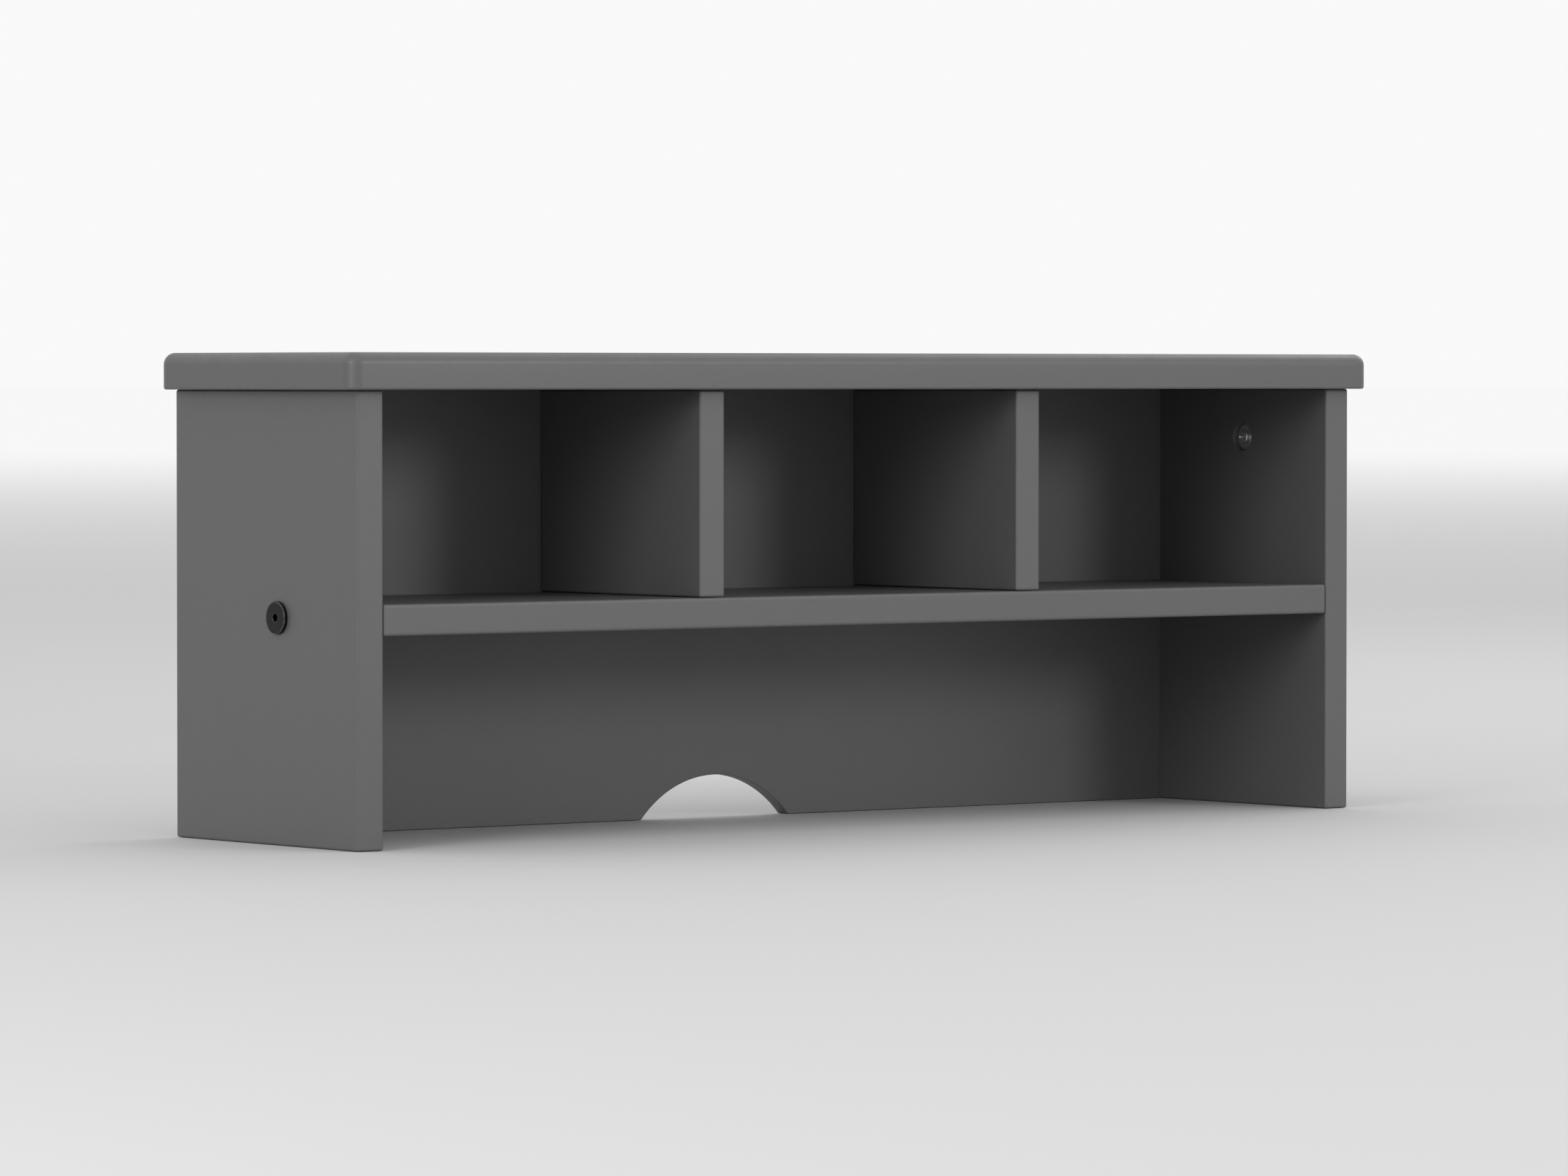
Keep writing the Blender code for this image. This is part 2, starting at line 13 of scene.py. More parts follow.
import bmesh
import bpy
import numpy as np
from bpy.props import FloatProperty, FloatVectorProperty, IntProperty, PointerProperty
from bpy.types import Operator, Panel, PropertyGroup
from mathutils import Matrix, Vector


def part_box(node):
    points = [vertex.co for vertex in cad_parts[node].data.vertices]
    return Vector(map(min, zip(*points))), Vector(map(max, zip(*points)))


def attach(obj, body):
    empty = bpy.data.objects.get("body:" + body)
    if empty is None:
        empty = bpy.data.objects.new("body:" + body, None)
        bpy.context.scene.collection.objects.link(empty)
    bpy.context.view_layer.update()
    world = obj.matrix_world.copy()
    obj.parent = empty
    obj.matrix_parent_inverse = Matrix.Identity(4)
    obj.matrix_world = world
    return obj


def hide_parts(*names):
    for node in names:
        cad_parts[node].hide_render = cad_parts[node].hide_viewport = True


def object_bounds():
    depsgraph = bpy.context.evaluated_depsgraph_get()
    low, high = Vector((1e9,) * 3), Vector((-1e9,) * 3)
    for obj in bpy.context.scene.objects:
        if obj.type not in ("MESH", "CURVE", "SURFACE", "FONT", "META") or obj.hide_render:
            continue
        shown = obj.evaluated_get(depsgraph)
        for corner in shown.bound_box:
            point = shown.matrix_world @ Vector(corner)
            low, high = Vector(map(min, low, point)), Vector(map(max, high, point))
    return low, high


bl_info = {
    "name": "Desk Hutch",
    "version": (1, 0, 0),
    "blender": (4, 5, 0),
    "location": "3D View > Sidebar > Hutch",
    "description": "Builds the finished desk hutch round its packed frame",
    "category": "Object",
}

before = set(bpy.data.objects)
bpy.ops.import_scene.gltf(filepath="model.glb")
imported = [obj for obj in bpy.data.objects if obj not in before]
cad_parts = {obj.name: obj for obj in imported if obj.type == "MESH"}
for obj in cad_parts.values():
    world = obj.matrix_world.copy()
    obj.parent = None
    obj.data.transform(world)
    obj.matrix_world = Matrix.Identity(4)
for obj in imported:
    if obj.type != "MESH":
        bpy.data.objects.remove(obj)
CAD_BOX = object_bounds()

BODY = "root"
WELD = 1e-6                   # points closer than this are one point
FIT_GAP = 0.0003              # round a fitting in its bore
HOLE_REACH = 1.3              # half side of the grid square round a hole, in hole radii
LINES_ACROSS_HOLE = 5
CROWDED = 0.35                # a plain line this share of a step from a fixed one gives way
EASE_BAND = np.tan(np.linspace(0.0, pi / 4, 3))   # half an eased edge, as tangents
SHARP_ANGLE = radians(35)
SIDES = (("left", -1), ("right", 1))
PLACES = ("front", "rear")
BACK_PLACES = ("left", "middle", "right")
SCREW_RIM = 0.0004            # straight rim of a countersunk head
BORE_CHAMFER = 0.0002         # at the mouth of a drilled hole
PIN_THREAD = 0.003            # outer radius of a cam pin's wood thread
ARCH_LINES = 41               # grid lines across the cable arch
ARCH_CLEAR = 0.0006           # nearest that an arch line comes to a hole's line
ARCH_BAND = 0.060             # height over which the back's grid bends round the arch
CUT_MARGIN = 1.0              # how far a groove's cut box reaches past its board
CORNER_CLEAR = 0.3            # an even angle this share of a step from a corner gives way
FLOOR_RINGS = (0.0, 1.0, 4.0, 20.0, 200.0)
FLOOR_DROP = 0.0002           # below the feet, so that the faces don't meet
PALE_TO_WHITE = (0.4, 24.0)   # distances between which the floor turns white
COLOR, FLOAT, VECTOR = "NodeSocketColor", "NodeSocketFloat", "NodeSocketVector"
GREY = (0.5, 0.5, 0.5, 1.0)
LIGHTS = {                    # place from the hutch's middle, diameter
    "side": ((-2.9, -1.3, 0.9), 1.2),
    "front": ((1.35, -2.9, 0.85), 0.8),
    "rim": ((2.6, 0.6, 1.9), 1.5),
}

Hole = namedtuple("Hole", "u v rows")
Bore = namedtuple("Bore", "axis sign at rows")


# ------------------------------------------------------------------ settings
def length(name, description, default, **limits):
    """Setting for a length in metres."""
    return FloatProperty(name=name, description=description, default=default, unit="LENGTH",
                         **limits)


def power(name, description, default):
    """Setting for a light's power in watts."""
    return FloatProperty(name=name, description=description, default=default, unit="POWER")


def colour(name, description, default):
    """Setting for a colour."""
    return FloatVectorProperty(name=name, description=description, default=default,
                               subtype="COLOR", min=0.0, max=1.0)


class HutchBoardSettings(PropertyGroup):
    """Sizes of the boards' finished edges."""
    ease: length("Edge ease", "Radius of every plain board edge", 0.0012,
                 min=0.0005, max=0.002, precision=4)
    top_corner: length("Top corner", "Plan radius of the top board's corners", 0.008,
                       min=0.007, max=0.012, precision=4)
    top_roundover: length("Top roundover", "Radius of the top board's upper rim", 0.006,
                          min=0.002, max=0.0065, precision=4)
    back_ease: length("Back ease", "Radius of the back panel's edges", 0.0004,
                      min=0.0001, max=0.001, precision=4)
    arch_chord: length("Cable arch width", "Width of the cable cutout at the desk top", 0.100,
                       min=0.050, max=0.200)
    arch_rise: length("Cable arch height", "Height of the cable cutout", 0.023,
                      min=0.010, max=0.050)
    mesh_step: length("Mesh step", "Distance between the grid lines of a board", 0.009,
                      min=0.004, max=0.040)


class HutchFittingSettings(PropertyGroup):
    """Details of the dowels, bolts, cams, screws and inserts."""
    dowel_flutes: IntProperty(
        name="Dowel flutes", description="Glue flutes round a dowel", default=16, min=6, max=32)
    flute_depth: length("Flute depth", "Depth of a dowel's flutes", 0.00022, precision=5)
    bolt_shank: length("Bolt radius", "Outer radius of the bolt's thread", 0.003, precision=4)
    bolt_pitch: length("Bolt pitch", "Thread pitch of the bolt", 0.001, precision=4)
    hex_flats: length("Hex socket", "Distance across the flats of the bolt's socket", 0.004,
                      precision=4)
    hex_depth: length("Socket depth", "Depth of the bolt's socket", 0.003, precision=4)
    screw_pitch: length("Screw pitch", "Thread pitch of the wood screws", 0.0018, precision=4)


class HutchFinishSettings(PropertyGroup):
    """Colours and surface qualities."""
    paint: colour("Paint", "Satin charcoal grey", (0.090, 0.091, 0.090))
    # Paint on the edge crests: partly rubbed wear, partly a painted highlight where an edge
    # catches the light.
    paint_rubbed: colour("Rubbed paint", "Paint polished thin along an edge",
                         (0.126, 0.127, 0.126))
    paint_roughness: FloatProperty(
        name="Paint roughness", description="Satin sheen of the paint",
        default=0.44, min=0.0, max=1.0, subtype="FACTOR")
    beech: colour("Beech", "Bare dowel wood", (0.560, 0.370, 0.200))
    black_steel: colour("Black steel", "Black oxide on the bolts", (0.016, 0.016, 0.017))
    zinc: colour("Zinc", "Zinc plate on cams, pins, nuts and screws", (0.640, 0.645, 0.650))
    brass: colour("Brass", "Turned brass of the base inserts", (0.600, 0.430, 0.180))


class HutchStageSettings(PropertyGroup):
    """Camera, lights and floor."""
    azimuth: FloatProperty(
        name="Azimuth", description="Viewing direction, from straight ahead towards the left",
        default=radians(-37.8), subtype="ANGLE")
    eye_height: length("Eye height", "Camera height above the floor", 0.238)
    distance: length("Distance", "Level distance from camera to hutch", 4.20)
    lens: FloatProperty(name="Lens", description="Focal length", default=180.0, unit="CAMERA")
    sky: FloatProperty(
        name="Sky light", description="Strength of the even light from all round", default=0.95)
    side: power("Side light", "Power of the low light on the left", 28.0)
    front: power("Front light", "Power of the low light right of the front", 21.0)
    rim: power("Rim light", "Power of the light on the far end", 13.0)
    floor: colour("Floor", "Pale floor under the hutch", (0.55, 0.55, 0.55))
    far_floor: colour("Far floor", "Floor towards the horizon", (0.98, 0.98, 0.98))


# ------------------------------------------------------------------ surfaces
def nearest(lines, value):
    """Index of the line at a value."""
    return int(np.argmin(np.abs(lines - value)))


def grid_lines(low, high, step, spans=(), extra=()):
    """Lines from low to high about a step apart, with a few across each (centre, reach) span."""
    across = [np.linspace(centre - reach, centre + reach, LINES_ACROSS_HOLE)
              for centre, reach in spans]
    fixed = np.concatenate([*across, np.asarray(extra, float), [low, high]])
    plain = np.linspace(low, high, max(2, round((high - low) / step)) + 1)
    clear = np.abs(plain[:, None] - fixed[None, :]).min(axis=1) > CROWDED * step
    return np.unique(np.round(np.concatenate([plain[clear], fixed]), 7))


def banded(lines):
    """The lines with the eased band added past both ends, as core places and tangents."""
    steps = len(EASE_BAND) - 1
    core = np.concatenate([np.full(steps, lines[0]), lines, np.full(steps, lines[-1])])
    tangent = np.concatenate([-EASE_BAND[:0:-1], np.zeros(len(lines)), EASE_BAND[1:]])
    return core, tangent


def around(i0, i1, j0, j1):
    """Grid indices once round a block of cells, ending where they start."""
    along_i, along_j = np.arange(i0, i1), np.arange(j0, j1)
    loop_i = [along_i, np.full(j1 - j0, i1), i1 + i0 - along_i, np.full(j1 - j0, i0), [i0]]
    loop_j = [np.full(i1 - i0, j0), along_j, np.full(i1 - i0, j1), j1 + j0 - along_j, [j0]]
    return np.concatenate(loop_i), np.concatenate(loop_j)


def quarter(steps):
    """Angles of a quarter turn."""
    return np.linspace(0.0, pi / 2, steps + 1)


def grid(first, second):
    """Two lists of lines as a grid of each."""
    return np.meshgrid(first, second, indexing="ij")


def xyz(x, y, z):
    """Three coordinates, spread to one shape, as points."""
    return np.stack(np.broadcast_arrays(x, y, z), axis=-1)


def on_face(axis, out, u, v):
    """Points from coordinates along a face's normal axis and along the next two axes."""
    return np.roll(xyz(out, u, v), axis, axis=-1)


def cells(rows, columns):
    """Corner indices of every cell of a grid of points."""
    index = np.arange(rows * columns).reshape(rows, columns)
    return np.stack([index[:-1, :-1], index[1:, :-1], index[1:, 1:], index[:-1, 1:]], axis=-1)


class Skin:
    """Grids of points, welded into one closed surface when the piece is made."""

    def __init__(self):
        self.points = []
        self.quads = []
        self.edges = []
        self.total = 0

    def patch(self, points, keep=None, edge=0.0):
        """Add a grid of points (rows, columns, 3) with a quad in every kept cell.

        edge says how far each point is up an eased edge, from 0 on the flat to 1 on the crest.
        """
        rows, columns = points.shape[:2]
        quads = self.total + cells(rows, columns)
        self.quads.append(quads.reshape(-1, 4) if keep is None else quads[keep])
        self.points.append(points.reshape(-1, 3))
        self.edges.append(np.broadcast_to(edge, (rows, columns)).ravel())
        self.total += rows * columns

    def sheet(self, u, v, points, place, holes=(), keep=None, edge=0.0):
        """Add a grid over the lines u and v with round holes in its flat part.

        Each hole takes the cells of a square out.  In their place, rings run from the square's
        rim to the hole's rim at the same angles, and on down the hole's (radius, depth) rows.
        place turns lines and a depth into points.
        """
        keep = np.ones((len(u) - 1, len(v) - 1), bool) if keep is None else keep
        for hole in holes:
            reach = hole.rows[0][0] * HOLE_REACH
            i0, i1 = nearest(u, hole.u - reach), nearest(u, hole.u + reach)
            j0, j1 = nearest(v, hole.v - reach), nearest(v, hole.v + reach)
            keep[i0:i1, j0:j1] = False
            loop_i, loop_j = around(i0, i1, j0, j1)
            rim_u, rim_v = u[loop_i], v[loop_j]
            angle = np.arctan2(rim_v - hole.v, rim_u - hole.u)
            radius, depth = np.array(hole.rows, float).T
            ring_u = hole.u + radius[:, None] * np.cos(angle)
            ring_v = hole.v + radius[:, None] * np.sin(angle)
            ring_u = np.vstack([rim_u, (rim_u + ring_u[0]) / 2, ring_u])
            ring_v = np.vstack([rim_v, (rim_v + ring_v[0]) / 2, ring_v])
            deep = np.concatenate([[0.0, 0.0], depth])[:, None]
            self.patch(place(ring_u, ring_v, np.broadcast_to(deep, ring_u.shape)))
        self.patch(points, keep, edge)

    def pocket(self, u, v, place, block, depth):
        """Add the walls and floor of a rectangular pocket under a block of grid cells."""
        i0, i1, j0, j1 = block
        loop_i, loop_j = around(i0, i1, j0, j1)
        levels = np.array([[0.0], [depth / 2], [depth]])
        self.patch(place(*np.broadcast_arrays(u[loop_i], v[loop_j], levels)))
        floor_u, floor_v = grid(u[i0:i1 + 1], v[j0:j1 + 1])
        self.patch(place(floor_u, floor_v, np.full(floor_u.shape, depth)))

    def piece(self, node, slot, turn=None):
        """Weld the patches into a mesh object that stands for a CAD node.

        turn is the (base, axes) of a turned piece, whose own coordinates the finish follows.
        """
        name = f"fine_{node}"
        used, quads = np.unique(np.concatenate(self.quads), return_inverse=True)
        points = np.concatenate(self.points)[used]
        mesh = bpy.data.meshes.new(name)
        mesh.from_pydata(points.tolist(), [], quads.reshape(-1, 4).tolist())
        crest = mesh.attributes.new("edge", "FLOAT", "POINT")
        crest.data.foreach_set("value", np.concatenate(self.edges)[used].astype(np.float32))

        welded = bmesh.new()
        welded.from_mesh(mesh)
        bmesh.ops.remove_doubles(welded, verts=welded.verts, dist=WELD)
        bmesh.ops.dissolve_degenerate(welded, edges=welded.edges, dist=WELD / 10)
        bmesh.ops.recalc_face_normals(welded, faces=welded.faces)
        welded.to_mesh(mesh)
        welded.free()

        loops = np.empty(len(mesh.loops), np.int32)
        mesh.loops.foreach_get("edge_index", loops)
        faces_on_edge = np.bincount(loops, minlength=len(mesh.edges))
        if (faces_on_edge != 2).any():
            raise RuntimeError(f"{name}: {(faces_on_edge != 2).sum()} edges aren't closed")

        if turn is not None:
            own = np.empty(len(mesh.vertices) * 3, np.float32)
            mesh.vertices.foreach_get("co", own)
            own = (own.reshape(-1, 3) - turn[0]) @ np.asarray(turn[1], float)
            local = mesh.attributes.new("own_place", "FLOAT_VECTOR", "POINT")
            local.data.foreach_set("vector", own.astype(np.float32).ravel())
        mesh.shade_smooth()
        mesh.set_sharp_from_angle(angle=SHARP_ANGLE)
        mesh.materials.append(finish_for(slot))
        item = bpy.data.objects.new(name, mesh)
        bpy.context.scene.collection.objects.link(item)
        even = item.modifiers.new("flat_faces_stay_flat", "WEIGHTED_NORMAL")
        even.keep_sharp = True
        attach(item, BODY)
        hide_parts(node)


def board_skin(low, high, ease, step, bores, extra=((), (), ()), cut=None):
    """Skin of an eased board, and its grid lines along X, Y and Z.

    A point of a face is its core place plus the ease radius times the unit vector along the
    face's normal plus the band's two tangents, so that flats, rounded edges and ball corners
    are one formula.  Faces whose middle lies in the cut box are left open.
    """
    low, high = np.array(low, float), np.array(high, float)
    lines = []
    for axis in range(3):
        spans = [(bore.at[axis], bore.rows[0][0] * HOLE_REACH) for bore in bores
                 if bore.axis != axis]
        lines.append(grid_lines(low[axis] + ease, high[axis] - ease, step, spans, extra[axis]))
    skin = Skin()
    for axis in range(3):
        u_axis, v_axis = (axis + 1) % 3, (axis + 2) % 3
        core_u, tangent_u = banded(lines[u_axis])
        core_v, tangent_v = banded(lines[v_axis])
        crest = np.minimum(1.0, np.hypot(tangent_u[:, None], tangent_v))
        for sign in (-1, 1):
            level = high[axis] if sign > 0 else low[axis]
            lean = on_face(axis, float(sign), tangent_u[:, None], tangent_v)
            points = (on_face(axis, level - sign * ease, core_u[:, None], core_v)
                      + ease * lean / np.linalg.norm(lean, axis=-1, keepdims=True))
            middle = (points[:-1, :-1] + points[1:, 1:]) / 2
            keep = np.ones(middle.shape[:2], bool)
            if cut is not None:
                keep = ~((middle > cut[0]) & (middle < cut[1])).all(axis=-1)

            def place(u, v, depth, axis=axis, level=level, sign=sign):
                return on_face(axis, level - sign * depth, u, v)

            holes = [Hole(bore.at[u_axis], bore.at[v_axis], bore.rows) for bore in bores
                     if bore.axis == axis and bore.sign == sign]
            skin.sheet(core_u, core_v, points, place, holes, keep, crest)
    return skin, lines


# ------------------------------------------------------------------ frame measures
def box_of(node):
    """Lowest and highest corner of a CAD node, as arrays."""
    low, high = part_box(node)
    return np.array(low), np.array(high)


def middle_of(node):
    """Middle of a CAD node's box, as an array."""
    low, high = box_of(node)
    return (low + high) / 2


def placed(kind):
    """Names and signs of a kind of fitting at the front and rear of both sides."""
    return [(f"{kind}_{label}_{place}", sign) for label, sign in SIDES for place in PLACES]


def half_width(node, axis):
    """Half of a CAD node's extent along an axis."""
    low, high = box_of(node)
    return (high[axis] - low[axis]) / 2


def blind(radius, depth):
    """Rows of a drilled hole with a small chamfer at its mouth and a flat floor."""
    return [(radius + BORE_CHAMFER, 0.0), (radius, BORE_CHAMFER), (radius, depth * 0.6),
            (radius, depth), (radius / 2, depth), (0.0, depth)]


def drilled(node, board, axis, sign, across=None, share=1.0, gap=FIT_GAP):
    """Blind bore for a fitting in the face of a board that looks along sign on the axis.

    Its radius is a share of the fitting's, as measured across another axis.
    """
    low, high = box_of(node)
    radius = half_width(node, (axis + 1) % 3 if across is None else across) * share + FIT_GAP
    face = box_of(board)[1 if sign > 0 else 0][axis]
    depth = (face - low[axis] if sign > 0 else high[axis] - face) + gap
    return Bore(axis, sign, middle_of(node), blind(radius, depth))


def dowel_bore(node, board, axis, sign):
    """Bore for a dowel, with room for glue at its end."""
    return drilled(node, board, axis, sign, gap=2 * FIT_GAP)


def countersunk(screw, axis, thickness, share):
    """Rows of a screw's through hole from its head's face, and those of the other face.

    share says how deep the ring halfway down the hole lies.
    """
    head = half_width(screw, axis) + 2 * FIT_GAP
    shank = head / 2
    rows = [(head, 0.0), (head, SCREW_RIM), (shank, SCREW_RIM + head - shank),
            (shank, thickness * share), (shank, thickness)]
    return rows, [(head, 0.0), (shank, 0.0)]


# ------------------------------------------------------------------ node materials
def add(tree, kind, inputs=None, **settings):
    """Add a node, set its fields, and fill its inputs with values or links."""
    node = tree.nodes.new(kind)
    for field, value in settings.items():
        setattr(node, field, value)
    for key, value in (inputs or {}).items():
        if isinstance(value, bpy.types.NodeSocket):
            tree.links.new(value, node.inputs[key])
        else:
            node.inputs[key].default_value = value
    return node


def maths(tree, operation, *values, clamp=False):
    """Result socket of a Math node."""
    node = add(tree, "ShaderNodeMath", dict(enumerate(values)), operation=operation,
               use_clamp=clamp)
    return node.outputs[0]


def remap(tree, value, low, high, to_low, to_high, shape="LINEAR"):
    """Result socket of a clamped Map Range node."""
    return add(tree, "ShaderNodeMapRange", {
        "Value": value, "From Min": low, "From Max": high, "To Min": to_low,
        "To Max": to_high}, interpolation_type=shape).outputs["Result"]


def mix(tree, factor, first, second):
    """Result socket of a colour Mix node."""
    return add(tree, "ShaderNodeMix", {0: factor, 6: first, 7: second},
               data_type="RGBA").outputs[2]


def noise(tree, vector, scale, detail=3.0, roughness=0.55):
    """Factor socket of a Noise Texture."""
    return add(tree, "ShaderNodeTexNoise", {
        "Vector": vector, "Scale": scale, "Detail": detail,
        "Roughness": roughness}).outputs[0]


def node_group(inputs, outputs):
    """Decorator that turns a filling function into one that gives its node group, built once."""
    def wrap(fill):
        @wraps(fill)
        def give():
            tree = bpy.data.node_groups.get(fill.__name__)
            if tree is not None:
                return tree
            tree = bpy.data.node_groups.new(fill.__name__, "ShaderNodeTree")
            for label, value in inputs.items():
                kind = VECTOR if value is None else FLOAT if isinstance(value, float) else COLOR
                socket = tree.interface.new_socket(label, in_out="INPUT", socket_type=kind)
                if value is not None:
                    socket.default_value = value
            for label, kind in outputs.items():
                tree.interface.new_socket(label, in_out="OUTPUT", socket_type=kind)
            start = tree.nodes.new("NodeGroupInput")
            end = tree.nodes.new("NodeGroupOutput")
            for label, socket in fill(tree, start.outputs).items():
                tree.links.new(socket, end.inputs[label])
            return tree
        return give
    return wrap


def effect(tree, source, inputs):
    """Put a node group into a material and give its outputs."""
    return add(tree, "ShaderNodeGroup", inputs, node_tree=source).outputs


@node_group({"Colour": GREY, "Place": None, "Amount": 0.1, "Scale": 8.0}, {"Colour": COLOR})
def uneven_tone(tree, given):
    """A colour made slightly lighter and darker in broad soft patches."""
    broad = noise(tree, given["Place"], given["Scale"], 2.0)
    swing = maths(tree, "MULTIPLY", maths(tree, "SUBTRACT", broad, 0.5), given["Amount"])
    gain = maths(tree, "ADD", swing, 1.0)
    scaled = add(tree, "ShaderNodeVectorMath", {0: given["Colour"], "Scale": gain},
                 operation="SCALE")
    return {"Colour": scaled.outputs[0]}


@node_group({"Colour": GREY, "Rubbed": GREY, "Place": None, "Amount": 0.5, "Scale": 60.0},
            {"Colour": COLOR, "Mask": FLOAT})
def edge_rub(tree, given):
    """A second colour along the crests of eased edges, broken up by noise: wear, and on the paint
    partly a painted highlight.
    """
    crest = add(tree, "ShaderNodeAttribute", attribute_name="edge").outputs["Fac"]
    broken = noise(tree, given["Place"], given["Scale"], 6.0, 0.7)
    edge = remap(tree, broken, 0.42, 0.62, 0.15, 1.0)
    mask = maths(tree, "MULTIPLY", maths(tree, "MULTIPLY", crest, edge), given["Amount"],
                 clamp=True)
    return {"Colour": mix(tree, mask, given["Colour"], given["Rubbed"]), "Mask": mask}


@node_group({"Colour": GREY, "Place": None, "Amount": 0.1}, {"Colour": COLOR, "Mask": FLOAT})
def settled_dust(tree, given):
    """Faint pale dust on faces that look up, as a colour and a mask."""
    normal = add(tree, "ShaderNodeNewGeometry").outputs["Normal"]
    up = add(tree, "ShaderNodeSeparateXYZ", {0: normal}).outputs["Z"]
    flat = remap(tree, up, 0.55, 1.0, 0.0, 1.0)
    specks = remap(tree, noise(tree, given["Place"], 900.0, 2.0), 0.45, 0.75, 0.2, 1.0)
    drift = remap(tree, noise(tree, given["Place"], 14.0, 4.0), 0.35, 0.7, 0.2, 1.0)
    mask = maths(tree, "MULTIPLY", maths(tree, "MULTIPLY", flat, specks),
                 maths(tree, "MULTIPLY", drift, given["Amount"]), clamp=True)
    pale = (0.55, 0.54, 0.52, 1.0)
    return {"Colour": mix(tree, mask, given["Colour"], pale), "Mask": mask}


@node_group({"Middle": 0.4, "Place": None, "Amount": 0.1, "Broad": 12.0, "Fine": 300.0},
            {"Roughness": FLOAT})
def varied_sheen(tree, given):
    """Roughness that wanders about a middle value at a broad and a fine scale."""
    broad = maths(tree, "SUBTRACT", noise(tree, given["Place"], given["Broad"], 3.0), 0.5)
    fine = maths(tree, "SUBTRACT", noise(tree, given["Place"], given["Fine"], 4.0), 0.5)
    swing = maths(tree, "MULTIPLY", maths(tree, "ADD", broad, fine), given["Amount"])
    return {"Roughness": maths(tree, "ADD", given["Middle"], swing, clamp=True)}


@node_group({"Place": None, "Scale": 5000.0}, {"Height": FLOAT})
def turning_marks(tree, given):
    """Height of the fine rings that a lathe leaves round a piece's own axis."""
    parts = add(tree, "ShaderNodeSeparateXYZ", {0: given["Place"]}).outputs
    flat = add(tree, "ShaderNodeCombineXYZ", {"X": parts["X"], "Y": parts["Y"]}).outputs[0]
    radius = distance_from_origin(tree, flat)
    rings = add(tree, "ShaderNodeCombineXYZ", {"X": radius, "Y": parts["Z"]}).outputs[0]
    return {"Height": noise(tree, rings, given["Scale"], 2.0)}


def distance_from_origin(tree, vector):
    """Length socket of a vector."""
    return add(tree, "ShaderNodeVectorMath", {0: vector}, operation="LENGTH").outputs["Value"]


def toned(tree, color, place, amount, scale):
    """Colour socket of a colour in uneven tone."""
    return effect(tree, uneven_tone(), {
        "Colour": color, "Place": place, "Amount": amount, "Scale": scale})["Colour"]


def sheen_of(tree, middle, place, amount, broad, fine):
    """Roughness socket of a varied sheen."""
    return effect(tree, varied_sheen(), {
        "Middle": middle, "Place": place, "Amount": amount, "Broad": broad,
        "Fine": fine})["Roughness"]


def object_place(tree):
    """Socket of the places in the shared frame."""
    return add(tree, "ShaderNodeTexCoord").outputs["Object"]


def own_place(tree):
    """Socket of a turned piece's own coordinates."""
    return add(tree, "ShaderNodeAttribute", attribute_name="own_place").outputs["Vector"]


def rgba(color):
    """A colour setting with its alpha."""
    return (*color, 1.0)


def start_material(name):
    """Empty material and its shader, with nothing linked yet."""
    material = bpy.data.materials.new(name)
    material.use_nodes = True
    tree = material.node_tree
    return material, tree, tree.nodes["Principled BSDF"]


def link_finish(tree, shader, color, roughness, height, distance, strength):
    """Link colour, roughness and a bump of the height into the shader."""
    normal = add(tree, "ShaderNodeBump", {"Height": height, "Distance": distance,
                                          "Strength": strength}).outputs["Normal"]
    for label, socket in (("Base Color", color), ("Roughness", roughness), ("Normal", normal)):
        tree.links.new(socket, shader.inputs[label])


def paint_material(finish):
    """Satin charcoal paint: soft tone patches, orange peel, lighter edges (partly rubbed wear,
    partly a painted highlight) and a trace of dust.
    """
    material, tree, shader = start_material("hutch_grey_paint")
    here = object_place(tree)
    tone = toned(tree, rgba(finish.paint), here, 0.07, 9.0)
    fine = toned(tree, tone, here, 0.10, 520.0)
    # Lighter paint along the edge crests: partly worn paint, partly a painted highlight.
    rub = effect(tree, edge_rub(), {
        "Colour": fine, "Rubbed": rgba(finish.paint_rubbed), "Place": here, "Amount": 0.30,
        "Scale": 70.0})
    dust = effect(tree, settled_dust(), {
        "Colour": rub["Colour"], "Place": here, "Amount": 0.05})
    sheen = sheen_of(tree, finish.paint_roughness, here, 0.12, 10.0, 350.0)
    dusty = maths(tree, "ADD", sheen, maths(tree, "MULTIPLY", dust["Mask"], 1.5))
    polished = maths(tree, "SUBTRACT", dusty, maths(tree, "MULTIPLY", rub["Mask"], 0.10),
                     clamp=True)
    peel = noise(tree, here, 620.0, 2.0, 0.45)
    nibs = remap(tree, noise(tree, here, 160.0, 1.0), 0.70, 0.80, 0.0, 1.0)
    height = maths(tree, "ADD", peel, maths(tree, "MULTIPLY", nibs, 0.6))
    link_finish(tree, shader, dust["Colour"], polished, height, 0.00006, 0.7)
    return material


def metal_material(name, color, rubbed, roughness, metallic, mark_depth=0.00003):
    """Turned metal: lathe rings, patchy sheen and rubbed rims."""
    material, tree, shader = start_material(name)
    own = own_place(tree)
    tone = toned(tree, rgba(color), own, 0.35, 260.0)
    rub = effect(tree, edge_rub(), {
        "Colour": tone, "Rubbed": rgba(rubbed), "Place": own, "Amount": 0.8, "Scale": 500.0})
    sheen = sheen_of(tree, roughness, own, 0.25, 200.0, 1500.0)
    rings = effect(tree, turning_marks(), {"Place": own, "Scale": 4200.0})["Height"]
    shader.inputs["Metallic"].default_value = metallic
    link_finish(tree, shader, rub["Colour"], sheen, rings, mark_depth, 0.5)
    return material


